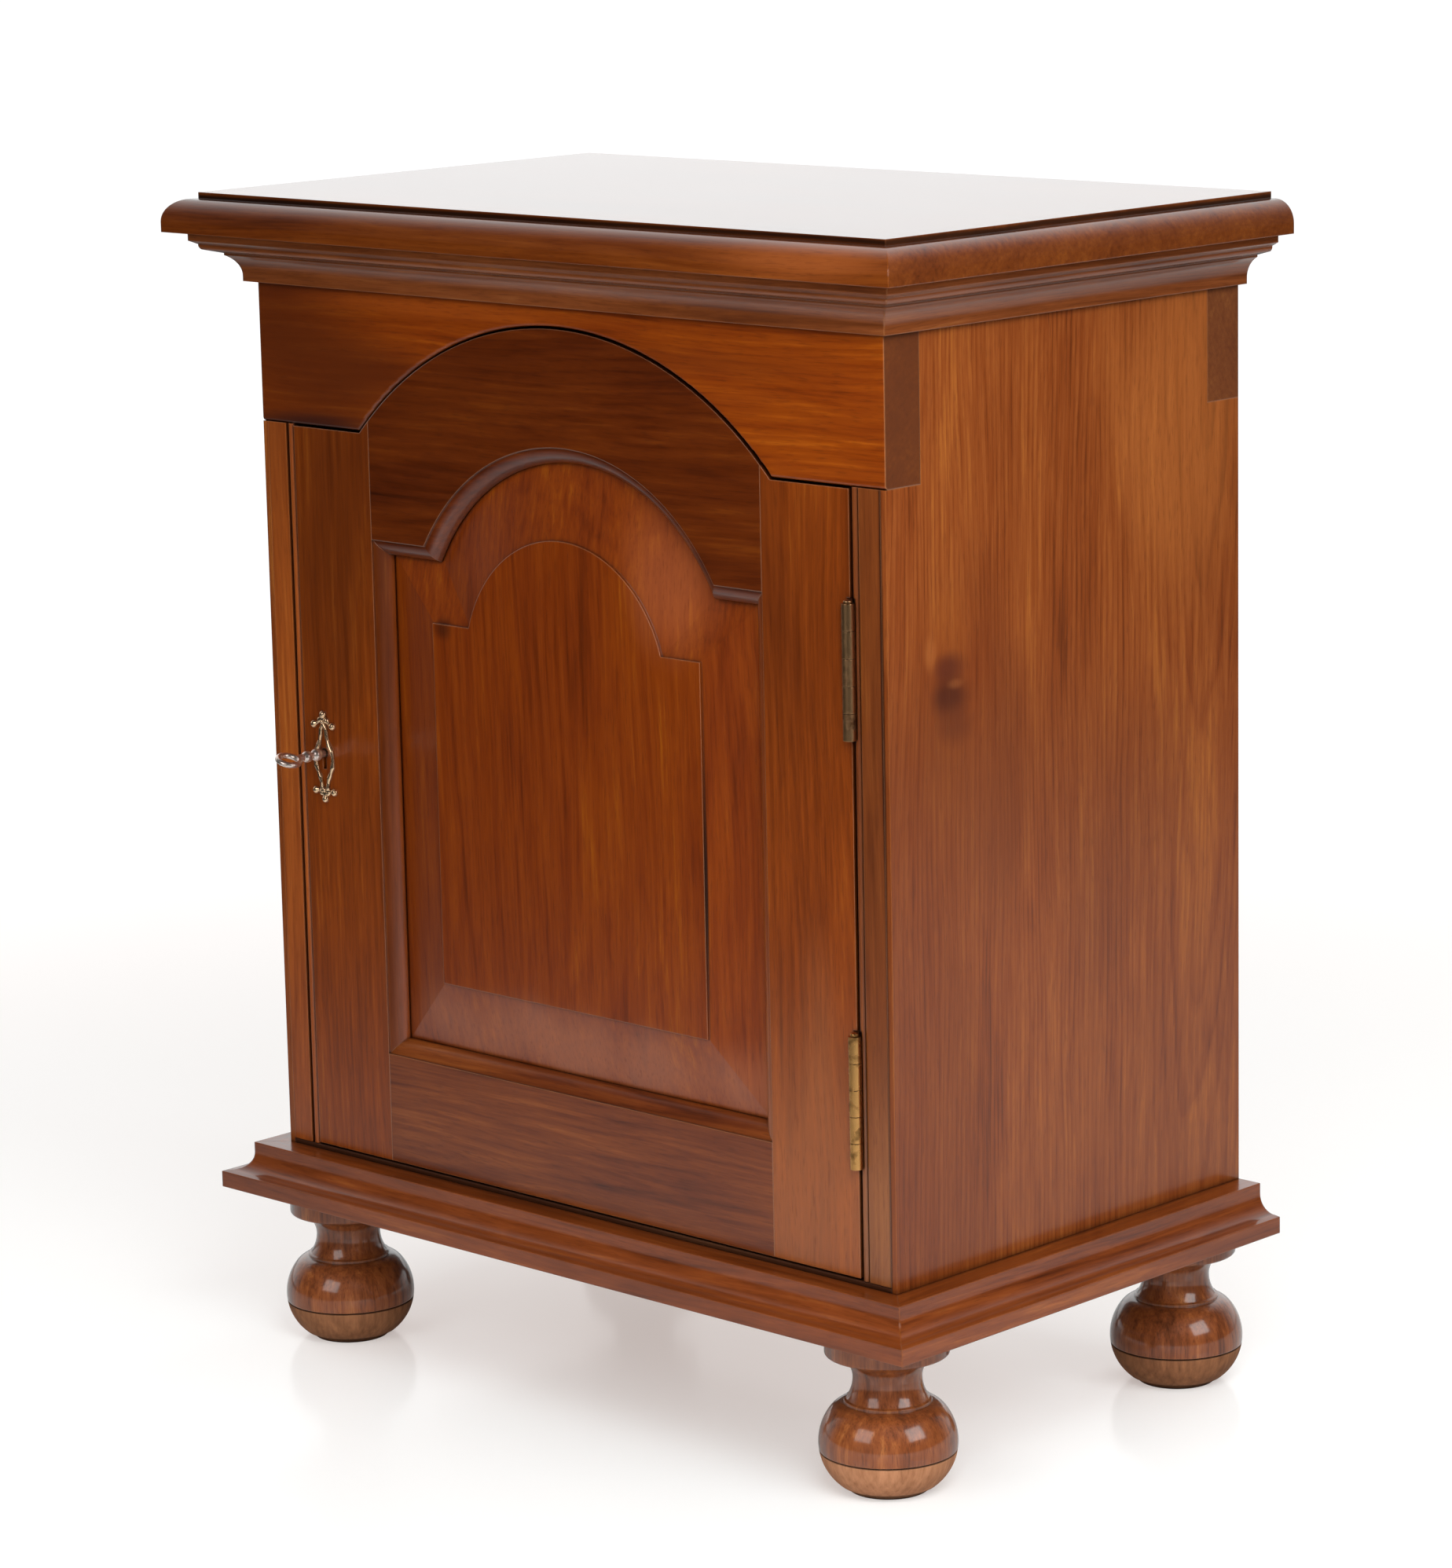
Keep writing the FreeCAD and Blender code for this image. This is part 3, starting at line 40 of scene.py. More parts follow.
def linear(hexColour):
    # "#8a4a22" to linear RGBA, the way the sRGB curve does it
    channels = [int(hexColour[i:i + 2], 16) / 255 for i in (1, 3, 5)]
    return [c / 12.92 if c <= 0.04045 else ((c + 0.055) / 1.055) ** 2.4 for c in channels] + [1.0]


def addNode(tree, kind, inputs=None, stops=None, **settings):
    # one node with its settings, its socket values and its links
    node = tree.nodes.new(kind)
    for name, value in settings.items():
        setattr(node, name, value)
    for socket, value in (inputs or {}).items():
        if isinstance(value, bpy.types.NodeSocket):
            tree.links.new(value, node.inputs[socket])
        else:
            node.inputs[socket].default_value = value
    if stops:
        ramp = node.color_ramp
        while len(ramp.elements) < len(stops):
            ramp.elements.new(0.5)
        for element, (place, colour) in zip(ramp.elements, stops):
            element.position = place
            element.color = linear(colour) if isinstance(colour, str) else (colour, colour, colour, 1)
    return node


def newMaterial(name):
    material = bpy.data.materials.new(name)
    material.use_nodes = True
    material.node_tree.nodes.clear()
    return material, material.node_tree


def dress(nodeNames, material):
    for name in nodeNames.split():
        mesh = nodes[name].data
        mesh.materials.clear()
        mesh.materials.append(material)


# varnished teak: a straight-grained tropical hardwood, planed, stained red-brown and oil-varnished.
# It shows fine dark growth lines, short open pores, arrises rubbed pale with a painted highlight, old polish
# and painted shade dark in the corners and a thin film over it that gives a soft clear reflection
woodLook = {
    "tilt": (0.01, 0.006),         # the grain's turn out of the board's length, radians
    "ringWidth": 0.0034,           # growth rings, m
    "ringTones": [(0.0, 0.30), (0.14, 0.78), (0.62, 0.62), (0.95, 0.0)],   # across one ring
    "wander": 0.010,               # how far the rings wander, m
    "wanderGrid": 14.0,            # how often, to the metre
    "wanderStretch": (1, 1, 0.2),  # and five times more slowly along the board
    "rings": 0.05,                 # strength of the rings
    "streaks": 0.50,               # strength of the fine lines along the grain
    "streakGrid": (330, 330, 9),   # how many to the metre, across and along
    "figure": 0.26,                # strength of the short broken streaks
    "figureGrid": (130, 130, 15),
    "clouds": 0.40,                # strength of the broad change of tone
    "cloudGrid": (26, 26, 5),
    "tonePlaces": (0.05, 0.36, 0.64, 0.95),   # where the board's four tones stand, darkest first
    "pores": 0.30,                 # how dark the pores are
    "poreSize": (0.0008, 0.011),   # across and along, m; about twice life size, so that they show
    "poreEdge": (0.56, 0.72),      # the noise from which a pore starts and is full
    "poreDepth": 0.0004,           # m
    "poreBump": 0.10,
    "patches": (),                 # each: middle and reach in m, tone, strength
    "patchWave": 1.6,              # how uneven a patch's edge is
    "patchEdge": (0.2, 1.0),       # where it starts to fade and where it ends, as shares of its reach
    "roughness": 0.38,
    "roughSpread": (-0.05, 0.07),  # smoother and rougher along the fine lines
    "roughLines": (0.3, 0.7),      # the noise at which each is reached
    "fibre": 0.12,                 # gloss of the wood under the film, which is nearly index matched
    "coat": 0.8,                   # the film of varnish
    "coatRoughness": 0.20,
    "easing": 0.0010,              # eased arrises, m
    "rubbedAndLit": 0.55,                # paler wood on the arrises: rubbed wear with a painted highlight
    "rubAndHighlightTone": None,               # its colour, where it isn't just the palest of the board
    "rubAndHighlightMatch": (0.985, 0.80),     # agreement of true and eased surface where the pale arris starts and is full
    "rubAndHighlightOpen": (0.70, 0.95),       # how open the arris has to be
    "polishAndShade": 0.92,                 # dark old polish and painted shade in the corners
    "polishAndShadeTone": "#120703",
    "polishAndShadeOpen": (0.25, 0.90),     # how open a corner is where the polish and painted shade are full and where they end
    "cornerReach": 0.005,          # how far out of a corner it lies, m
    "cornerSamples": 8,
    "endGrain": 0.0,               # darker where the cut ends of the fibres show
    "endTone": "#4a2a18",
    "endFacing": (0.75, 0.95),     # how squarely a face cuts the grain where the tone starts and is full
    "dryBelow": None,              # height under which the varnish has gone, m
    "dryTones": ("#744a30", "#c08a66"),
    "dryRoughness": 0.3,           # added where it is dry
}

grainTurn = {"x": (0, -math.pi / 2, 0), "y": (math.pi / 2, 0, 0), "z": (0, 0, 0)}
waveStep = 0.31416   # a wave texture of scale 1 repeats after this many metres
easedSamples = 6     # for the eased edges of wood and metal


def layPatches(tree, look, place, wave, colour):
    # knots, joint lines and broad parts of another tone, each an uneven oval
    for spot, reach, tone, strength in look["patches"]:
        away = addNode(tree, "ShaderNodeVectorMath", {0: place, 1: spot}, operation="SUBTRACT")
        scaled = addNode(tree, "ShaderNodeVectorMath", {0: away.outputs["Vector"], 1: reach},
                         operation="DIVIDE")
        uneven = addNode(tree, "ShaderNodeVectorMath",
                         {0: wave, 1: [look["patchWave"]] * 3, 2: scaled.outputs["Vector"]},
                         operation="MULTIPLY_ADD")
        gap = addNode(tree, "ShaderNodeVectorMath", {0: uneven.outputs["Vector"]}, operation="LENGTH")
        fade, end = look["patchEdge"]
        core = addNode(tree, "ShaderNodeMapRange",
                       {"Value": gap.outputs["Value"], "From Min": fade, "From Max": end,
                        "To Min": strength, "To Max": 0.0}, interpolation_type="SMOOTHSTEP")
        mixed = addNode(tree, "ShaderNodeMix",
                        {"Factor": core.outputs["Result"], "A": colour, "B": linear(tone)},
                        data_type="RGBA")
        colour = mixed.outputs["Result"]
    return colour


def darkenEnds(tree, look, normal, colour):
    # end grain drinks more polish
    facing = addNode(tree, "ShaderNodeSeparateXYZ", {"Vector": normal})
    flat = addNode(tree, "ShaderNodeMath", {0: facing.outputs["xyz".index(look["grain"])]},
                   operation="ABSOLUTE")
    start, full = look["endFacing"]
    ends = addNode(tree, "ShaderNodeMapRange",
                   {"Value": flat.outputs[0], "From Min": start, "From Max": full,
                    "To Max": look["endGrain"]})
    shaded = addNode(tree, "ShaderNodeMix",
                     {"Factor": ends.outputs["Result"], "A": colour, "B": linear(look["endTone"])},
                     data_type="RGBA")
    return shaded.outputs["Result"]


def dryOut(tree, look, place, level, colour, gloss):
    # below a height the foot stands dry, and the varnish has gone
    high = addNode(tree, "ShaderNodeSeparateXYZ", {"Vector": place})
    dry = addNode(tree, "ShaderNodeMath", {0: high.outputs["Z"], 1: look["dryBelow"]}, operation="LESS_THAN")
    dark, pale = [linear(tone) for tone in look["dryTones"]]
    bare = addNode(tree, "ShaderNodeMix", {"Factor": level, "A": dark, "B": pale}, data_type="RGBA")
    swap = addNode(tree, "ShaderNodeMix",
                   {"Factor": dry.outputs[0], "A": colour, "B": bare.outputs["Result"]}, data_type="RGBA")
    dull = addNode(tree, "ShaderNodeMath", {0: dry.outputs[0], 1: look["dryRoughness"], 2: gloss},
                   operation="MULTIPLY_ADD")
    film = addNode(tree, "ShaderNodeMath", {0: dry.outputs[0], 1: -look["coat"], 2: look["coat"]},
                   operation="MULTIPLY_ADD")
    return swap.outputs["Result"], dull.outputs[0], film.outputs[0]


def woodMaterial(name, board):
    look = {**woodLook, **board}
    material, tree = newMaterial(name)
    texture = addNode(tree, "ShaderNodeTexCoord")
    place = texture.outputs["Object"]
    turn = [a + b for a, b in zip(grainTurn[look["grain"]], (*look["tilt"], 0))]
    heart = Euler(turn).to_matrix() @ Vector(look["pith"])   # the tree's centre, brought to the origin
    lengthwise = addNode(tree, "ShaderNodeMapping", {"Vector": place, "Rotation": turn, "Location": -heart})
    along = lengthwise.outputs["Vector"]

    # growth rings, wandering slowly along the board
    slow = addNode(tree, "ShaderNodeMapping", {"Vector": along, "Scale": look["wanderStretch"]})
    wander = addNode(tree, "ShaderNodeTexNoise",
                     {"Vector": slow.outputs["Vector"], "Scale": look["wanderGrid"], "Detail": 2.0,
                      "Roughness": 0.5})
    centred = addNode(tree, "ShaderNodeVectorMath", {0: wander.outputs["Color"], 1: (0.5, 0.5, 0.5)},
                      operation="SUBTRACT")
    wave = centred.outputs["Vector"]
    shift = addNode(tree, "ShaderNodeVectorMath", {0: wave, "Scale": look["wander"] * 2},
                    operation="SCALE")
    shifted = addNode(tree, "ShaderNodeVectorMath", {0: along, 1: shift.outputs["Vector"]}, operation="ADD")
    warped = shifted.outputs["Vector"]
    rings = addNode(tree, "ShaderNodeTexWave",
                    {"Vector": warped, "Scale": waveStep / look["ringWidth"],
                     "Distortion": 2.5, "Detail": 2.0, "Detail Scale": 0.12},
                    wave_type="RINGS", rings_direction="Z", wave_profile="SAW")
    ringTone = addNode(tree, "ShaderNodeValToRGB", {"Fac": rings.outputs["Fac"]}, stops=look["ringTones"])

    # fine lines, short streaks and broad clouds of tone
    fine = addNode(tree, "ShaderNodeMapping", {"Vector": warped, "Scale": look["streakGrid"]})
    streaks = addNode(tree, "ShaderNodeTexNoise",
                      {"Vector": fine.outputs["Vector"], "Scale": 1.0, "Detail": 4.0, "Roughness": 0.65})
    broken = addNode(tree, "ShaderNodeMapping", {"Vector": warped, "Scale": look["figureGrid"]})
    figure = addNode(tree, "ShaderNodeTexNoise",
                     {"Vector": broken.outputs["Vector"], "Scale": 1.0, "Detail": 3.0, "Roughness": 0.6,
                      "Distortion": 0.6})
    wide = addNode(tree, "ShaderNodeMapping", {"Vector": along, "Scale": look["cloudGrid"]})
    clouds = addNode(tree, "ShaderNodeTexNoise",
                     {"Vector": wide.outputs["Vector"], "Scale": 1.0, "Detail": 3.0, "Roughness": 0.5})
    level = 0.5
    for value, weight in [(ringTone.outputs["Color"], look["rings"]),
                          (streaks.outputs["Fac"], look["streaks"]),
                          (figure.outputs["Fac"], look["figure"]),
                          (clouds.outputs["Fac"], look["clouds"])]:
        share = addNode(tree, "ShaderNodeMath", {0: value, 1: 0.5}, operation="SUBTRACT")
        total = addNode(tree, "ShaderNodeMath", {0: share.outputs[0], 1: weight * 2, 2: level},
                        operation="MULTIPLY_ADD")
        level = total.outputs[0]
    body = addNode(tree, "ShaderNodeValToRGB", {"Fac": level},
                   stops=list(zip(look["tonePlaces"], look["tones"])))
    colour = layPatches(tree, look, place, wave, body.outputs["Color"])

    # pores, filled with the board's darkest tone
    across, length = look["poreSize"]
    poreSpace = addNode(tree, "ShaderNodeMapping",
                        {"Vector": warped, "Scale": (1 / across, 1 / across, 1 / length)})
    poreNoise = addNode(tree, "ShaderNodeTexNoise",
                        {"Vector": poreSpace.outputs["Vector"], "Scale": 1.0, "Detail": 1.0})
    start, full = look["poreEdge"]
    pore = addNode(tree, "ShaderNodeMapRange",
                   {"Value": poreNoise.outputs["Fac"], "From Min": start, "From Max": full})
    poreShade = addNode(tree, "ShaderNodeMath", {0: pore.outputs["Result"], 1: look["pores"]},
                        operation="MULTIPLY")
    pored = addNode(tree, "ShaderNodeMix",
                    {"Factor": poreShade.outputs[0], "A": colour, "B": linear(look["tones"][0])},
                    data_type="RGBA")
    colour = pored.outputs["Result"]
    if look["endGrain"]:
        colour = darkenEnds(tree, look, texture.outputs["Normal"], colour)

    # arrises rubbed through the stain, and painted paler as a highlight
    eased = addNode(tree, "ShaderNodeBevel", {"Radius": look["easing"]}, samples=easedSamples)
    shape = addNode(tree, "ShaderNodeNewGeometry")
    corner = addNode(tree, "ShaderNodeAmbientOcclusion", {"Distance": look["cornerReach"]},
                     samples=look["cornerSamples"])
    match = addNode(tree, "ShaderNodeVectorMath", {0: eased.outputs["Normal"], 1: shape.outputs["Normal"]},
                    operation="DOT_PRODUCT")
    start, full = look["rubAndHighlightMatch"]
    edge = addNode(tree, "ShaderNodeMapRange",
                   {"Value": match.outputs["Value"], "From Min": start, "From Max": full,
                    "To Max": look["rubbedAndLit"]})
    start, full = look["rubAndHighlightOpen"]
    clear = addNode(tree, "ShaderNodeMapRange",
                    {"Value": corner.outputs["AO"], "From Min": start, "From Max": full})
    wornAndLit = addNode(tree, "ShaderNodeMath", {0: edge.outputs["Result"], 1: clear.outputs["Result"]},
                   operation="MULTIPLY")
    rubAndHighlightTone = look["rubAndHighlightTone"] or look["tones"][-1]
    rubbedAndLit = addNode(tree, "ShaderNodeMix", {"Factor": wornAndLit.outputs[0], "A": colour, "B": linear(rubAndHighlightTone)},
                     data_type="RGBA")
    colour = rubbedAndLit.outputs["Result"]

    start, full = look["roughLines"]
    smoothest, roughest = [look["roughness"] + change for change in look["roughSpread"]]
    roughness = addNode(tree, "ShaderNodeMapRange",
                        {"Value": streaks.outputs["Fac"], "From Min": start, "From Max": full,
                         "To Min": smoothest, "To Max": roughest})
    gloss, coat = roughness.outputs["Result"], look["coat"]
    if look["dryBelow"]:
        colour, gloss, coat = dryOut(tree, look, place, level, colour, gloss)

    # old polish and painted shade gathered in corners and quirks
    full, end = look["polishAndShadeOpen"]
    hollow = addNode(tree, "ShaderNodeMapRange",
                     {"Value": corner.outputs["AO"], "From Min": full, "From Max": end,
                      "To Min": look["polishAndShade"], "To Max": 0.0})
    polishedAndShaded = addNode(tree, "ShaderNodeMix",
                     {"Factor": hollow.outputs["Result"], "A": colour, "B": linear(look["polishAndShadeTone"])},
                     data_type="RGBA")

    surface = addNode(tree, "ShaderNodeBump",
                      {"Height": pore.outputs["Result"], "Strength": look["poreBump"],
                       "Distance": look["poreDepth"], "Normal": eased.outputs["Normal"]}, invert=True)
    shader = addNode(tree, "ShaderNodeBsdfPrincipled",
                     {"Base Color": polishedAndShaded.outputs["Result"], "Roughness": gloss,
                      "Specular IOR Level": look["fibre"],
                      "Coat Weight": coat, "Coat Roughness": look["coatRoughness"],
                      "Normal": surface.outputs["Normal"], "Coat Normal": eased.outputs["Normal"]})
    addNode(tree, "ShaderNodeOutputMaterial", {"Surface": shader.outputs["BSDF"]})
    return material


allAlong = 9.0       # reach of a patch that runs the whole length of its board, m
doorFace = -0.1372   # the plane of the door and the carcass front, m

# the line between side board and frame stile, which are glued flush
stileJoint = ((0.244, doorFace, 0.33), (0.0018, 0.0050, allAlong), "#1c0a05", 0.95)

footWood = {
    "tones": ["#3e1e0d", "#693619", "#834722", "#a26734"],
    "grain": "z", "pith": (0.3, 0.3, 0),
    "figure": 0.4, "pores": 0.45,
    "coat": 1.0, "coatRoughness": 0.12,
    "dryBelow": 0.0227,   # the scored line round the ball
}

boards = {
    "sideTeak": {
        "on": "side_left side_right",
        "tones": ["#4d2109", "#713511", "#81431a", "#995921"],
        "grain": "z", "pith": (0.185, 0.125, 0.30), "tilt": (0.022, -0.03), "rings": 0.12, "coat": 0.65,
        # the first patch is painted light: paler high up at the rear
        "patches": [((0.248, 0.120, 0.60), (0.3, 0.09, 0.16), "#a8642f", 0.35),
                    ((0.248, -0.060, 0.41), (0.3, 0.10, 0.10), "#5c2a10", 0.55),
                    ((0.248, 0.050, 0.36), (0.3, 0.08, 0.12), "#5c2a10", 0.35),
                    ((0.248, -0.090, 0.475), (0.05, 0.025, 0.030), "#a05a22", 0.3),
                    ((0.248, -0.105, 0.22), (0.3, 0.07, 0.28), "#5a2402", 0.40),
                    ((0.248, -0.085, 0.45), (0.05, 0.045, 0.05), "#6a2c0a", 0.40),
                    # a double knot, its pale rim and its tail
                    ((0.248, -0.1035, 0.468), (0.02, 0.008, 0.014), "#a8642f", 0.30),
                    ((0.248, -0.0884, 0.459), (0.02, 0.016, 0.012), "#4a1e10", 0.80),
                    ((0.248, -0.0885, 0.4425), (0.02, 0.019, 0.016), "#3e180a", 0.85),
                    ((0.248, -0.0850, 0.427), (0.02, 0.018, 0.016), "#52240f", 0.60),
                    ((0.248, -0.0835, 0.4515), (0.02, 0.008, 0.004), "#8c5028", 0.35),
                    stileJoint],
    },
    "frameLeftTeak": {
        "on": "frame_stile_left",
        "tones": ["#612b0c", "#803d14", "#944b19", "#ab6526"],
        "grain": "z", "pith": (0.11, 0.31, 0.3),
        # painted shade high up on the left stile
        "patches": [((-0.235, doorFace, 0.62), (0.12, 0.3, 0.30), "#6a320f", 0.5)],
    },
    "frameRightTeak": {
        "on": "frame_stile_right",
        "tones": ["#461e08", "#5c2b0e", "#6b3512", "#80491c"],
        "grain": "z", "pith": (0.11, 0.31, 0.3), "rubAndHighlightTone": "#8a5a3a",
        # painted light low down, where the floor throws light back
        "patches": [((0.235, doorFace, 0.13), (0.12, 0.3, 0.14), "#94603a", 0.40),
                    stileJoint],
    },
    "sillTeak": {   # unvarnished inside, with painted shade along the front edge under the door
        "on": "bottom_board",
        "tones": ["#4a2a16", "#74492a", "#8a5c3a", "#a07450"],
        "grain": "x", "pith": (0, 0.2, 0.5), "rubbedAndLit": 0.1, "coat": 0.3,
        "patches": [((0, doorFace, 0.13), (allAlong, 0.010, allAlong), "#30160b", 0.95)],
    },
    "doorStileTeak": {
        "on": "door_stile_left door_stile_right",
        "tones": ["#471c04", "#652a04", "#783506", "#934e0f"],
        "grain": "z", "pith": (0.05, 0.25, 0.3),
        "rubbedAndLit": 0.8, "rubAndHighlightTone": "#9c6a48", "cornerReach": 0.0035, "polishAndShade": 1.0,
        # painted shade high up on both stiles and painted light low on the right one, where the floor throws
        # light back; a dark band runs along the left stile's sticking
        "patches": [((-0.184, -0.137, 0.54), (0.09, 0.3, 0.20), "#3a1503", 0.45),
                    ((0.184, -0.137, 0.52), (0.09, 0.3, 0.16), "#4a1c05", 0.30),
                    ((0.184, -0.137, 0.17), (0.09, 0.3, 0.14), "#a8683c", 0.30),
                    ((-0.1515, -0.137, 0.33), (0.007, 0.3, allAlong), "#341405", 0.5)],
    },
    "panelTeak": {   # a knot, painted shade with old polish on the field's right step, and paler bevels at the arch and the foot as painted light
        "on": "door_panel",
        "tones": ["#481902", "#672702", "#763202", "#8d4902"],
        "grain": "z", "pith": (0.04, 0.3, 0.3), "tilt": (0.012, 0.02),
        "rubbedAndLit": 0.8, "rubAndHighlightTone": "#9c6a48", "cornerReach": 0.0030, "polishAndShade": 1.0,
        "patches": [((-0.097, -0.127, 0.455), (0.011, 0.02, 0.009), "#2c1004", 0.7),
                    # painted shade with old polish on the field's right step
                    ((0.1078, -0.1354, 0.35), (0.0014, 0.004, 0.13), "#1c0a04", 0.95),
                    # painted highlight on the arch's bevel at the right, and painted light on the bevel at
                    # the foot, which faces up
                    ((0.085, -0.130, 0.505), (0.05, 0.3, 0.05), "#965230", 0.40),
                    ((0.0, -0.130, 0.215), (0.26, 0.3, 0.036), "#94583a", 0.45)],
    },
    "topRailTeak": {
        "on": "door_top_rail",
        "tones": ["#311002", "#491a02", "#582303", "#6d3405"],
        "grain": "x", "pith": (0, 0.03, 0.50), "tilt": (0.0, 0.03), "rings": 0.07,
        "rubbedAndLit": 0.8, "rubAndHighlightTone": "#8c6448", "coat": 1.0, "coatRoughness": 0.13,
    },
    "bottomRailTeak": {
        "on": "door_bottom_rail",
        "tones": ["#3c1605", "#5b270b", "#6d3410", "#83461a"],
        "grain": "x", "pith": (0, 0.05, 0.08), "tilt": (0.0, 0.02), "rings": 0.09,
        "rubbedAndLit": 0.8, "rubAndHighlightTone": "#9c7050",
    },
    "friezeTeak": {   # its ends show as end grain in the sides
        "on": "frieze_rail",
        "tones": ["#481a02", "#702c02", "#823902", "#a05207"],
        "grain": "x", "pith": (0, 0.02, 0.45), "tilt": (0.0, 0.015), "rings": 0.06, "endGrain": 0.8,
        "rubbedAndLit": 0.7, "rubAndHighlightTone": "#a06a40", "easing": 0.0014,
        # darker towards the left end, partly the wood's own tone and partly painted shade, with a thin dark
        # band low at that end
        "patches": [((-0.21, -0.137, 0.60), (0.16, 0.3, 0.12), "#4a1c05", 0.85),
                    ((-0.205, -0.137, 0.566), (0.09, 0.3, 0.009), "#2c1410", 0.8),
                    ((0.10, -0.137, 0.625), (0.12, 0.3, 0.012), "#5e2606", 0.35),
                    ((-0.06, -0.137, 0.640), (0.14, 0.3, 0.008), "#9a4a12", 0.4)],
    },
    "backRailTeak": {
        "on": "back_rail",
        "tones": ["#4c2410", "#733a1a", "#864a22", "#9c602e"],
        "grain": "x", "pith": (0, 0.3, 0.7), "endGrain": 0.6,
    },
    "topTeak": {   # a pale piece of the front ovolo, and painted shade under the raised field's lip
        "on": "top_board",
        "tones": ["#3a1402", "#5b2705", "#6b330a", "#7d4210"],
        "grain": "x", "pith": (0, 0.1, 0.4), "endGrain": 0.25,
        "coat": 1.0, "coatRoughness": 0.1, "cornerReach": 0.0035, "polishAndShade": 1.0,
        "patches": [((0.215, -0.176, 0.687), (0.10, 0.02, 0.02), "#b0602c", 0.35),
                    # painted shade on the lip's face, all round the board
                    ((0, 0, 0.6980), (allAlong, allAlong, 0.0023), "#150803", 0.9)],
    },
    "corniceFrontTeak": {
        "on": "cornice_front",
        "tones": ["#411c0c", "#623113", "#753e1c", "#8c552b"],
        "grain": "x", "pith": (0, 0.1, 0.5), "cornerReach": 0.0030, "polishAndShade": 1.0, "coatRoughness": 0.13,
    },
    "corniceSideTeak": {
        "on": "cornice_left cornice_right",
        "tones": ["#3e1b0b", "#5f2f12", "#713b1a", "#875229"],
        "grain": "y", "pith": (0.1, 0, 0.5), "cornerReach": 0.0030, "polishAndShade": 1.0, "coatRoughness": 0.13,
    },
    "baseFrontTeak": {
        "on": "base_front base_back",
        "tones": ["#411a07", "#642d0c", "#763813", "#8e4e1f"],
        "grain": "x", "pith": (0, 0.1, 0.2),
        "figure": 0.4, "cornerReach": 0.0035, "polishAndShade": 1.0, "coatRoughness": 0.15,
    },
    "baseSideTeak": {
        "on": "base_left base_right",
        "tones": ["#421a06", "#652d0c", "#773912", "#904f1f"],
        "grain": "y", "pith": (0.1, 0, 0.2),
        "figure": 0.4, "cornerReach": 0.0035, "polishAndShade": 1.0, "coatRoughness": 0.15,
    },
    "paleFootTeak": {**footWood, "on": "foot_front_right"},
    "shadedFootTeak": {   # the three further feet, with painted shade on their dry lower parts
        **footWood,
        "on": "foot_front_left foot_back_left foot_back_right",
        "dryTones": ("#583622", "#9e6c4a"),
    },
    "shelfTeak": {   # bare, as the back boards are
        "on": "shelf",
        "tones": ["#5b3a24", "#8a6240", "#a27a52", "#b8926a"],
        "grain": "x", "pith": (0, 0.3, 0.1), "coat": 0.0, "roughness": 0.6,
    },
    "backBoardTeak": {
        "on": "back_board_1 back_board_2 back_board_3 back_board_4",
        "tones": ["#5b3422", "#865639", "#9c6c4a", "#b08360"],
        "grain": "z", "pith": (0.2, 0.5, 0), "coat": 0.0, "roughness": 0.6,
    },
}

for name, board in boards.items():
    dress(board["on"], woodMaterial(name, board))
print("wood done:", len(boards), "finishes")


# cast and rolled brass, rubbed bright where hands reach and brown in the hollows; the key's nickel-plated
# steel is paler and evenly worn
metalLook = {
    "stainGrid": 140.0,         # stains to the metre
    "stainEdge": (0.62, 0.85),  # the noise from which a stain starts and is full, on clean metal
    "stainGrowth": (0.4, 0.3),  # how far tarnish brings both down
    "hollowReach": 0.0014,      # m
    "hollowOpen": (0.1, 0.7),   # how open a hollow is where it is darkest and where that ends
    "hollowSamples": 6,
    "stainRoughness": 0.3,      # added where it is stained
    "roughest": 0.8,
    "easing": 0.0004,           # eased edges, m
}

metals = {
    "tarnishedBrass": {
        "on": "hinge_upper_frame_leaf hinge_upper_door_leaf hinge_upper_pin",
        "bright": "#c4966a", "dull": "#5a3a26", "roughness": 0.32, "tarnish": 0.35,
    },
    # the lower hinge, more golden than the upper one: a painted highlight
    "highlitHingeBrass": {
        "on": "hinge_lower_frame_leaf hinge_lower_door_leaf hinge_lower_pin",
        "bright": "#d69c5c", "dull": "#54381e", "roughness": 0.26, "tarnish": 0.25,
    },
    "screwBrass": {
        "on": "hinge_screws_frame hinge_screws_door lock_screws strike_screws",
        "bright": "#b08d50", "dull": "#4b3520", "roughness": 0.32, "tarnish": 0.4,
    },
    "lockBrass": {
        "on": "lock_case lock_cap lock_bolt strike_plate",
        "bright": "#c8a468", "dull": "#8a6a40", "roughness": 0.36, "tarnish": 0.3,
    },
    "castBrass": {
        "on": "escutcheon escutcheon_pins",
        "bright": "#ffd6ac", "dull": "#3a2214", "roughness": 0.24, "tarnish": 0.0,
    },
    "nickelSteel": {
        "on": "key",
        "bright": "#f0dcd0", "dull": "#4a3c36", "roughness": 0.34, "tarnish": 0.05,
    },
}


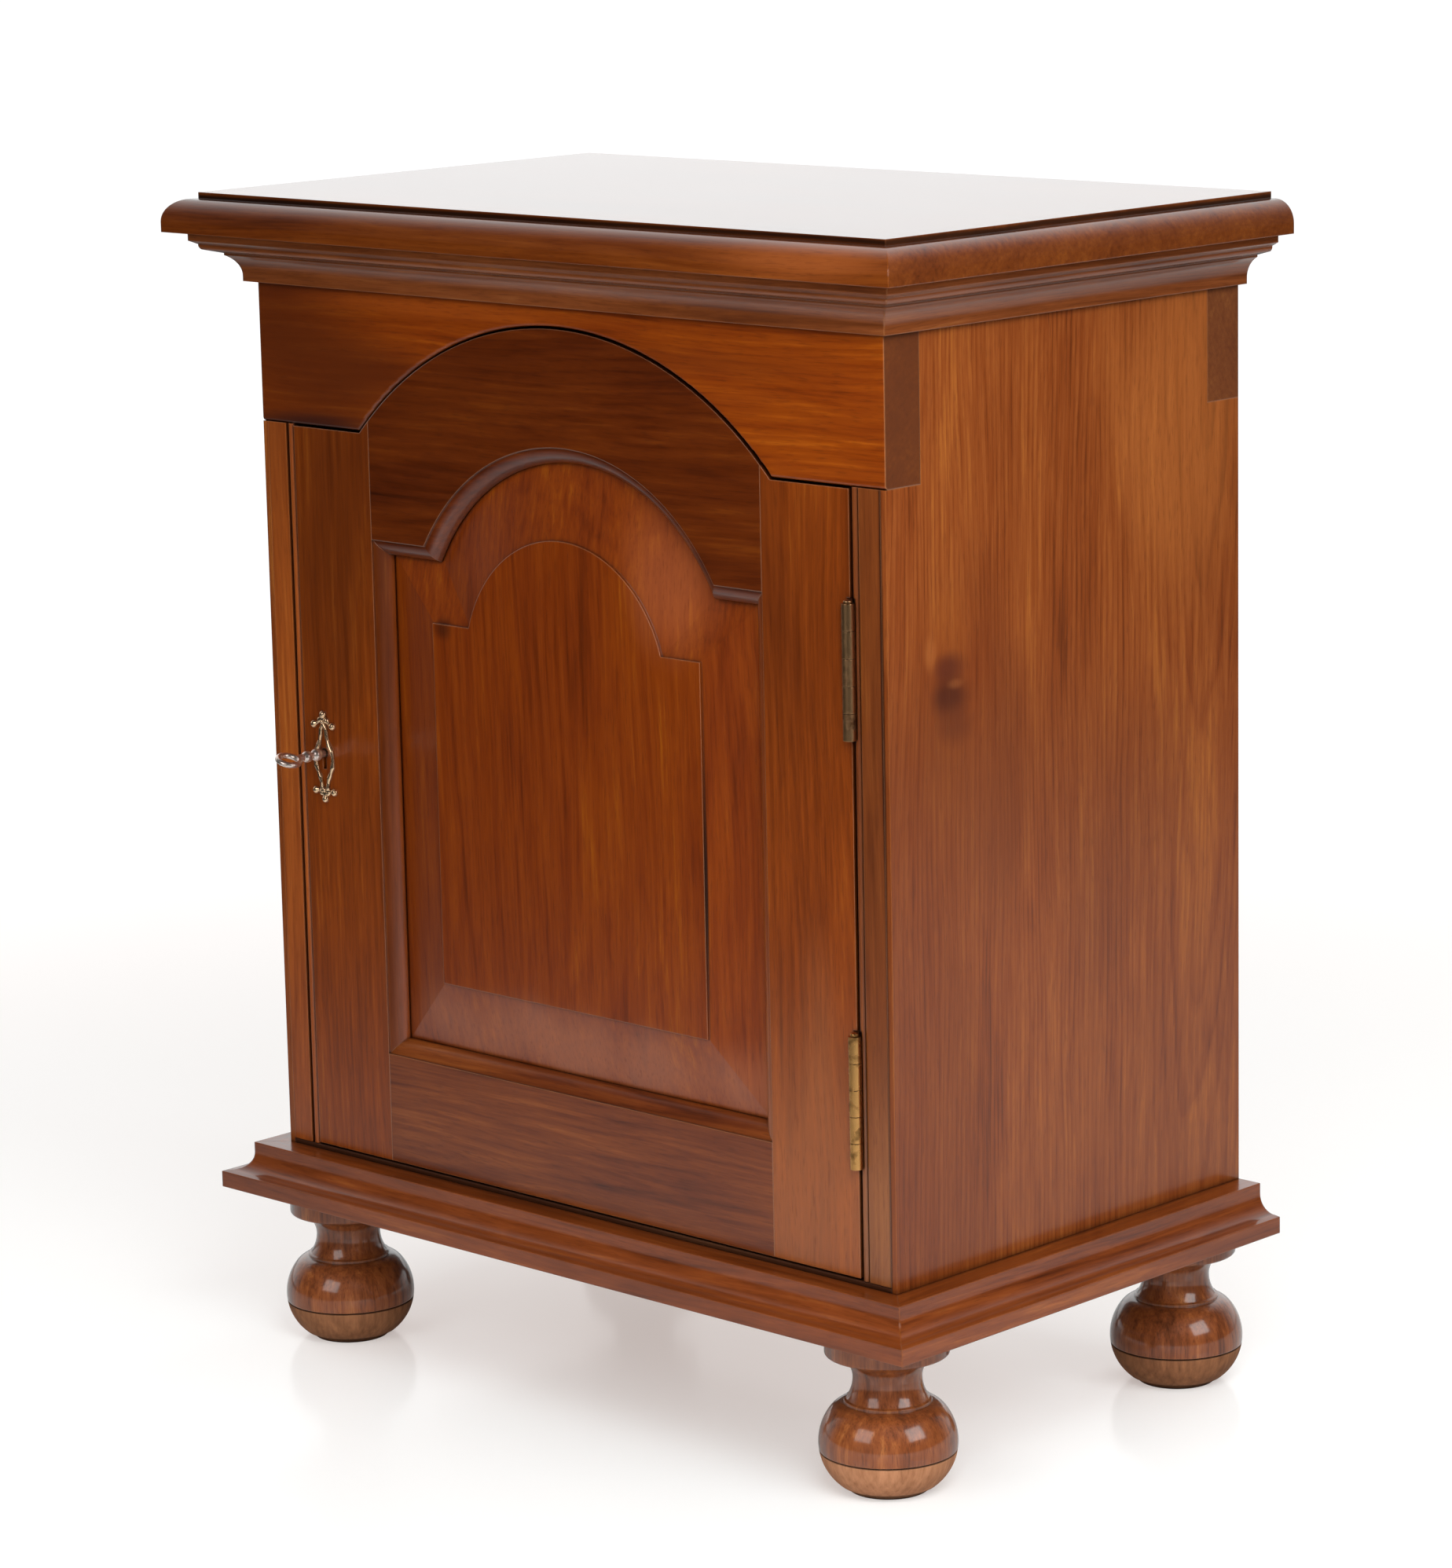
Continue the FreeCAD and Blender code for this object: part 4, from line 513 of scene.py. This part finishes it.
def metalMaterial(name, metal):
    look = {**metalLook, **metal}
    material, tree = newMaterial(name)
    place = addNode(tree, "ShaderNodeTexCoord")
    noise = addNode(tree, "ShaderNodeTexNoise",
                    {"Vector": place.outputs["Object"], "Scale": look["stainGrid"], "Detail": 3.0,
                     "Roughness": 0.5})
    start, full = [edge - look["tarnish"] * growth
                   for edge, growth in zip(look["stainEdge"], look["stainGrowth"])]
    stain = addNode(tree, "ShaderNodeMapRange",
                    {"Value": noise.outputs["Fac"], "From Min": start, "From Max": full})
    corner = addNode(tree, "ShaderNodeAmbientOcclusion", {"Distance": look["hollowReach"]},
                     samples=look["hollowSamples"])
    full, end = look["hollowOpen"]
    hollow = addNode(tree, "ShaderNodeMapRange",
                     {"Value": corner.outputs["AO"], "From Min": full, "From Max": end, "To Min": 1.0,
                      "To Max": 0.0})
    both = addNode(tree, "ShaderNodeMath", {0: stain.outputs["Result"], 1: hollow.outputs["Result"]},
                   operation="MAXIMUM")
    colour = addNode(tree, "ShaderNodeMix",
                     {"Factor": both.outputs[0], "A": linear(look["bright"]), "B": linear(look["dull"])},
                     data_type="RGBA")
    stained = min(look["roughness"] + look["stainRoughness"], look["roughest"])
    rough = addNode(tree, "ShaderNodeMapRange",
                    {"Value": both.outputs[0], "To Min": look["roughness"], "To Max": stained})
    eased = addNode(tree, "ShaderNodeBevel", {"Radius": look["easing"]}, samples=easedSamples)
    shader = addNode(tree, "ShaderNodeBsdfPrincipled",
                     {"Base Color": colour.outputs["Result"], "Metallic": 1.0,
                      "Roughness": rough.outputs["Result"], "Normal": eased.outputs["Normal"]})
    addNode(tree, "ShaderNodeOutputMaterial", {"Surface": shader.outputs["BSDF"]})
    return material


metalFinish = {}
for name, metal in metals.items():
    metalFinish[name] = metalMaterial(name, metal)
    dress(metal["on"], metalFinish[name])
print("metal done:", len(metals), "finishes")


crease = math.radians(50)   # sharper edges than this stay crisp


def joinParts(parts, name):
    bpy.ops.object.select_all(action="DESELECT")
    for part in parts:
        part.select_set(True)
    bpy.context.view_layer.objects.active = parts[0]
    bpy.ops.object.join()
    piece = bpy.context.object
    piece.name = name
    bpy.ops.object.transform_apply(location=True, rotation=True, scale=True)
    return piece


def meltTogether(piece, look):
    # one closed skin over all the joined parts, with the steps smoothed away
    bpy.ops.object.modifier_add(type="REMESH")
    remesh = piece.modifiers[-1]
    remesh.mode = "VOXEL"
    remesh.voxel_size = look["grid"]
    bpy.ops.object.modifier_apply(modifier=remesh.name)
    bpy.ops.object.modifier_add(type="SMOOTH")
    smooth = piece.modifiers[-1]
    smooth.iterations = look["smoothing"]
    bpy.ops.object.modifier_apply(modifier=smooth.name)


def finishSkin(piece, material):
    # called in edit mode, with all selected
    bpy.ops.mesh.normals_make_consistent(inside=False)
    bpy.ops.object.mode_set(mode="OBJECT")
    bpy.ops.object.shade_smooth_by_angle(angle=crease)
    piece.data.materials.clear()
    piece.data.materials.append(material)


# escutcheon: a pierced cast plate, an ogee loop round the keyhole between two trefoils
escutcheonLook = {
    "middle": (-0.2045, doorFace, 0.366),
    # the right half's bars, each point across, up and the bar's radius, mm
    "loop": [(2.2, 16.5, 1.3), (2.6, 12.8, 1.4), (3.4, 9.5, 1.1), (4.6, 6.2, 1.8), (6.4, 3.2, 1.6),
             (7.4, 0.6, 1.1), (7.6, -2.6, 1.2), (7.1, -6.2, 1.7), (5.6, -9.6, 1.1), (3.9, -13.0, 1.6),
             (2.8, -16.0, 1.1), (2.5, -19.0, 1.6)],
    "top": [(0, 25.4, 2.3), (0, 22.8, 0.9), (2.7, 21.9, 1.8), (4.4, 20.2, 0.8), (5.6, 19.6, 0.9),
            (8.0, 18.8, 2.3)],
    "topStem": [(0, 22.6, 1.2), (0, 19.4, 1.3), (1.4, 17.6, 1.2), (2.2, 16.5, 1.2)],
    "foot": [(0, -26.0, 2.3), (0, -23.4, 0.9), (2.7, -22.3, 1.8), (4.4, -21.0, 0.8), (5.6, -20.8, 0.9),
             (8.0, -21.2, 2.3)],
    "footStem": [(0, -23.2, 1.2), (1.2, -21.0, 1.3), (2.5, -19.0, 1.5)],
    "flat": 0.85,        # the bars are a little flatter than round
    "sunk": 0.25,        # mm that their middles stand in front of the door
    "step": 0.45,        # mm between the balls that make a bar
    "ballFaces": (12, 8),  # round and up
    "grid": 0.00024,     # of the skin, m
    "smoothing": 2,
}


def addBar(points, side, look):
    # one swelling bar of balls, from point to point
    middle = Vector(look["middle"])
    segments, ringCount = look["ballFaces"]
    balls = []
    for (x1, z1, r1), (x2, z2, r2) in zip(points, points[1:]):
        count = max(1, round(math.hypot(x2 - x1, z2 - z1) / look["step"]))
        for i in range(count + 1):
            t = i / count
            across, up, radius = x1 + (x2 - x1) * t, z1 + (z2 - z1) * t, r1 + (r2 - r1) * t
            bpy.ops.mesh.primitive_uv_sphere_add(
                segments=segments, ring_count=ringCount, radius=radius / 1000,
                location=middle + Vector((side * across, -look["sunk"], up)) / 1000,
                scale=(1, look["flat"], 1))
            balls.append(bpy.context.object)
    return balls


def makeEscutcheon(look):
    bpy.ops.object.select_all(action="DESELECT")
    balls = []
    for side in (-1, 1):
        for bar in ("loop", "top", "topStem", "foot", "footStem"):
            balls += addBar(look[bar], side, look)
    escutcheon = joinParts(balls, "castEscutcheon")
    meltTogether(escutcheon, look)

    # a flat back on the door
    bpy.ops.object.mode_set(mode="EDIT")
    bpy.ops.mesh.select_all(action="DESELECT")
    bpy.ops.object.mode_set(mode="OBJECT")
    for corner in escutcheon.data.vertices:
        corner.select = corner.co.y > look["middle"][1]
    bpy.ops.object.mode_set(mode="EDIT")
    bpy.ops.transform.resize(value=(1, 0, 1), center_override=look["middle"])
    bpy.ops.mesh.select_all(action="SELECT")
    finishSkin(escutcheon, metalFinish["castBrass"])
    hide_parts("escutcheon")
    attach(escutcheon, "door")
    print("escutcheon done:", len(escutcheon.data.polygons), "faces")


# key: a ring bow, a round shank turned with two beads, and a small bit, all of one cast and filed piece
keyLook = {
    "axis": (-0.2045, doorFace, 0.3678),
    "tilt": 18,                          # degrees, the right side of the bow down
    "bow": (28.3, 6.45, 1.75),           # in front of the door, radius of the ring and of its bar, mm
    "bowFaces": (64, 24),                # round the ring and round its bar
    # the shank's place in front of the door and its radius, mm, from the bow to the bit's end
    "turned": [(22.6, 1.5), (20.4, 2.0), (18.6, 2.2), (17.0, 1.9), (16.2, 2.6), (15.2, 3.3), (13.9, 3.5),
               (12.6, 3.3), (11.6, 2.5), (10.6, 1.9), (9.6, 1.9), (8.9, 2.8), (7.8, 3.6), (6.2, 3.8),
               (4.6, 3.5), (3.6, 2.6), (3.0, 2.2), (-21.4, 2.2)],
    "shankFaces": 32,
    "bit": (-12.6, -17.6, 9.0, 1.0),     # front, back, reach and half thickness, mm
    "grid": 0.00022,                     # of the skin, m
    "smoothing": 5,
}


def addShank(look):
    # a cone for each turning, drawn to the two radii at its ends
    middle, steps = Vector(look["axis"]), []
    for (y1, r1), (y2, r2) in zip(look["turned"], look["turned"][1:]):
        bpy.ops.mesh.primitive_cone_add(
            vertices=look["shankFaces"], radius1=r1 / 1000, radius2=r2 / 1000, depth=(y1 - y2) / 1000,
            location=middle - Vector((0, (y1 + y2) / 2000, 0)), rotation=(-math.pi / 2, 0, 0))
        steps.append(bpy.context.object)
    return steps


def makeKey(look):
    bpy.ops.object.select_all(action="DESELECT")
    parts = addShank(look)
    axis = Vector(look["axis"])
    bowFront, bowRadius, bowBar = [length / 1000 for length in look["bow"]]
    roundRing, roundBar = look["bowFaces"]
    bpy.ops.mesh.primitive_torus_add(
        major_radius=bowRadius, minor_radius=bowBar, major_segments=roundRing, minor_segments=roundBar,
        location=axis - Vector((0, bowFront, 0)))
    parts.append(bpy.context.object)
    bitFront, bitBack, reach, half = [length / 1000 for length in look["bit"]]
    bpy.ops.mesh.primitive_cube_add(size=1, location=axis + Vector((reach / 2, -(bitFront + bitBack) / 2, 0)),
                                    scale=(reach, bitFront - bitBack, half * 2))
    parts.append(bpy.context.object)
    key = joinParts(parts, "turnedKey")
    meltTogether(key, look)

    bpy.ops.object.mode_set(mode="EDIT")
    bpy.ops.mesh.select_all(action="SELECT")
    bpy.ops.transform.rotate(value=-math.radians(look["tilt"]), orient_axis="Y", center_override=look["axis"])
    finishSkin(key, metalFinish["nickelSteel"])
    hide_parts("key")
    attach(key, "key")
    print("key done:", len(key.data.polygons), "faces")


makeEscutcheon(escutcheonLook)
makeKey(keyLook)


# the floor is white coated paper, slightly shiny; the air is a white studio with a dark room behind it
stageLook = {
    "floorSize": 60.0,
    "paper": "#c4ced0",         # the paper near the object, before its glow
    "warmGlow": (1.0, 0.87, 0.82, 1.0),   # makes up for it where lit, and leaves the shadows warm
    "bouncePaper": "#dedad4",   # what it throws back at the object
    "farPaper": "#101010",      # under the glow, where the floor is pure light
    "nearGlow": 0.47,           # makes the lit paper white to the camera
    "mirrorGlow": 0.12,         # what the object's gloss sees of it
    "sheen": 0.10,              # share of the floor's faint reflection
    "sheenRoughness": 0.16,
    "paperMiddle": (0.0, 0.0, 0.0),
    "paperReach": (0.8, 1.8),   # the paper ends softly between these radii, m
    "mirrorMiddle": (0.35, 0.40, 0.0),   # gloss sees less of it, and further back
    "mirrorReach": (0.9, 2.0),
    "airLight": 0.30,           # plain light from all round
    "roomDark": 0.02,           # the dark room, as gloss sees it
    "backdropWay": (-0.693, 0.721, 0.0),   # from the object, behind and to its left
    "backdropEdge": (0.1, 0.75),   # how near to that way it starts and is full
}
white = (1, 1, 1, 1)


def makeFloor():
    bpy.ops.object.select_all(action="DESELECT")
    bpy.ops.mesh.primitive_plane_add(size=stageLook["floorSize"], location=(0, 0, 0))
    floor = bpy.context.object
    floor.name = "floor"
    material, tree = newMaterial("studioPaper")
    path = addNode(tree, "ShaderNodeLightPath")
    place = addNode(tree, "ShaderNodeTexCoord")
    glossy = addNode(tree, "ShaderNodeMath",
                     {0: path.outputs["Is Glossy Ray"], 1: path.outputs["Is Transmission Ray"]},
                     operation="MAXIMUM")
    edges = []
    for middle, reach in [("paperMiddle", "paperReach"), ("mirrorMiddle", "mirrorReach")]:
        radius = addNode(tree, "ShaderNodeVectorMath", {0: place.outputs["Object"], 1: stageLook[middle]},
                         operation="DISTANCE")
        near, far = stageLook[reach]
        edge = addNode(tree, "ShaderNodeMapRange",
                       {"Value": radius.outputs["Value"], "From Min": near, "From Max": far},
                       interpolation_type="SMOOTHSTEP")
        edges.append(edge.outputs["Result"])
    seenEdge, mirrorEdge = edges
    outside = addNode(tree, "ShaderNodeMix", {"Factor": glossy.outputs[0], "A": seenEdge, "B": mirrorEdge})
    tint = addNode(tree, "ShaderNodeMix",
                   {"Factor": path.outputs["Is Diffuse Ray"], "A": linear(stageLook["paper"]),
                    "B": linear(stageLook["bouncePaper"])}, data_type="RGBA")
    paper = addNode(tree, "ShaderNodeMix",
                    {"Factor": outside.outputs["Result"], "A": tint.outputs["Result"],
                     "B": linear(stageLook["farPaper"])}, data_type="RGBA")
    matt = addNode(tree, "ShaderNodeBsdfDiffuse", {"Color": paper.outputs["Result"]})
    shine = addNode(tree, "ShaderNodeBsdfGlossy", {"Color": white, "Roughness": stageLook["sheenRoughness"]})
    base = addNode(tree, "ShaderNodeMixShader",
                   {0: stageLook["sheen"], 1: matt.outputs[0], 2: shine.outputs[0]})
    seen = addNode(tree, "ShaderNodeMapRange",
                   {"Value": seenEdge, "To Min": stageLook["nearGlow"], "To Max": 1.0})
    direct = addNode(tree, "ShaderNodeMath", {0: seen.outputs["Result"], 1: path.outputs["Is Camera Ray"]},
                     operation="MULTIPLY")
    mirrored = addNode(tree, "ShaderNodeMapRange",
                       {"Value": mirrorEdge, "To Min": stageLook["mirrorGlow"], "To Max": 0.0})
    strength = addNode(tree, "ShaderNodeMath",
                       {0: mirrored.outputs["Result"], 1: glossy.outputs[0], 2: direct.outputs[0]},
                       operation="MULTIPLY_ADD")
    warm = addNode(tree, "ShaderNodeMix", {"Factor": seenEdge, "A": stageLook["warmGlow"], "B": white},
                   data_type="RGBA")
    glow = addNode(tree, "ShaderNodeEmission",
                   {"Color": warm.outputs["Result"], "Strength": strength.outputs[0]})
    both = addNode(tree, "ShaderNodeAddShader", {0: base.outputs["Shader"], 1: glow.outputs["Emission"]})
    addNode(tree, "ShaderNodeOutputMaterial", {"Surface": both.outputs["Shader"]})
    floor.data.materials.append(material)


def makeAir():
    # white all round for the camera; gloss sees the white backdrop on one side and a dark room on the other
    world = bpy.data.worlds.new("studioAir")
    world.use_nodes = True
    tree = world.node_tree
    tree.nodes.clear()
    path = addNode(tree, "ShaderNodeLightPath")
    place = addNode(tree, "ShaderNodeTexCoord")
    side = addNode(tree, "ShaderNodeVectorMath",
                   {0: place.outputs["Generated"], 1: stageLook["backdropWay"]}, operation="DOT_PRODUCT")
    start, full = stageLook["backdropEdge"]
    backdrop = addNode(tree, "ShaderNodeMapRange",
                       {"Value": side.outputs["Value"], "From Min": start, "From Max": full,
                        "To Min": stageLook["roomDark"], "To Max": 1.0}, interpolation_type="SMOOTHSTEP")
    glossy = addNode(tree, "ShaderNodeMath",
                     {0: path.outputs["Is Glossy Ray"], 1: path.outputs["Is Transmission Ray"]},
                     operation="MAXIMUM")
    mirrored = addNode(tree, "ShaderNodeMix",
                       {"Factor": glossy.outputs[0], "A": stageLook["airLight"],
                        "B": backdrop.outputs["Result"]})
    strength = addNode(tree, "ShaderNodeMix",
                       {"Factor": path.outputs["Is Camera Ray"], "A": mirrored.outputs[0], "B": 1.0})
    air = addNode(tree, "ShaderNodeBackground", {"Color": white, "Strength": strength.outputs[0]})
    addNode(tree, "ShaderNodeOutputWorld", {"Surface": air.outputs["Background"]})
    bpy.context.scene.world = world


# each lamp: direction round the object and above the floor in degrees, distance and size in m, and power;
# a plain one is a large dim bounce that leaves no window in the varnish
lamps = {
    "softboxFront": {"round": 2, "up": 22, "away": 2.0, "size": (1.0, 0.9), "power": 9},
    "softboxSide": {"round": 91, "up": 22, "away": 2.0, "size": (1.0, 0.9), "power": 14},
    "softboxCorner": {"round": 55, "up": 30, "away": 1.35, "size": (0.7, 0.7), "power": 13, "plain": True},
    "lowCard": {"round": 30, "up": -11, "away": 1.15, "size": (1.2, 0.25), "power": 3.5, "plain": True},
    "backdropLamp": {"round": 224, "up": 16, "away": 2.6, "size": (3.6, 1.5), "power": 3.6},
    "fillBack": {"round": 180, "up": 40, "away": 2.4, "size": (1.6, 1.6), "power": 14, "plain": True},
    "fillLeft": {"round": 275, "up": 35, "away": 2.4, "size": (1.6, 1.6), "power": 10, "plain": True},
}
lampTarget = (0, 0, 0.35)

cameraLook = {
    "round": 43.85, "up": 11.47, "roll": -1.19,   # degrees
    "away": 3.02003,
    "target": (0.01361, -0.01959, 0.35741),
    "lens": 118.80,                               # mm
}


def wayTo(look):
    # from the object towards a lamp or the camera
    around, above = math.radians(look["round"]), math.radians(look["up"])
    return Vector((math.sin(around) * math.cos(above), -math.cos(around) * math.cos(above), math.sin(above)))


def makeLamps():
    for name, look in lamps.items():
        data = bpy.data.lights.new(name, "AREA")
        data.shape = "RECTANGLE"
        data.size, data.size_y = look["size"]
        data.energy = look["power"]
        lamp = bpy.data.objects.new(name, data)
        bpy.context.scene.collection.objects.link(lamp)
        way = wayTo(look)
        lamp.location = Vector(lampTarget) + way * look["away"]
        lamp.rotation_mode = "QUATERNION"
        lamp.rotation_quaternion = way.to_track_quat("Z", "Y")
        lamp.visible_camera = False
        lamp.visible_glossy = not look.get("plain", False)


def makeCamera():
    data = bpy.data.cameras.new("camera")
    data.lens = cameraLook["lens"]
    camera = bpy.data.objects.new("camera", data)
    bpy.context.scene.collection.objects.link(camera)
    back = wayTo(cameraLook)
    camera.location = Vector(cameraLook["target"]) + back * cameraLook["away"]
    camera.rotation_mode = "QUATERNION"
    roll = Quaternion(back, math.radians(cameraLook["roll"]))
    camera.rotation_quaternion = roll @ (-back).to_track_quat("-Z", "Y")
    bpy.context.scene.camera = camera


makeFloor()
makeAir()
makeLamps()
makeCamera()
bpy.context.scene.view_settings.view_transform = "Standard"
print("stage done:", len(lamps), "lamps")
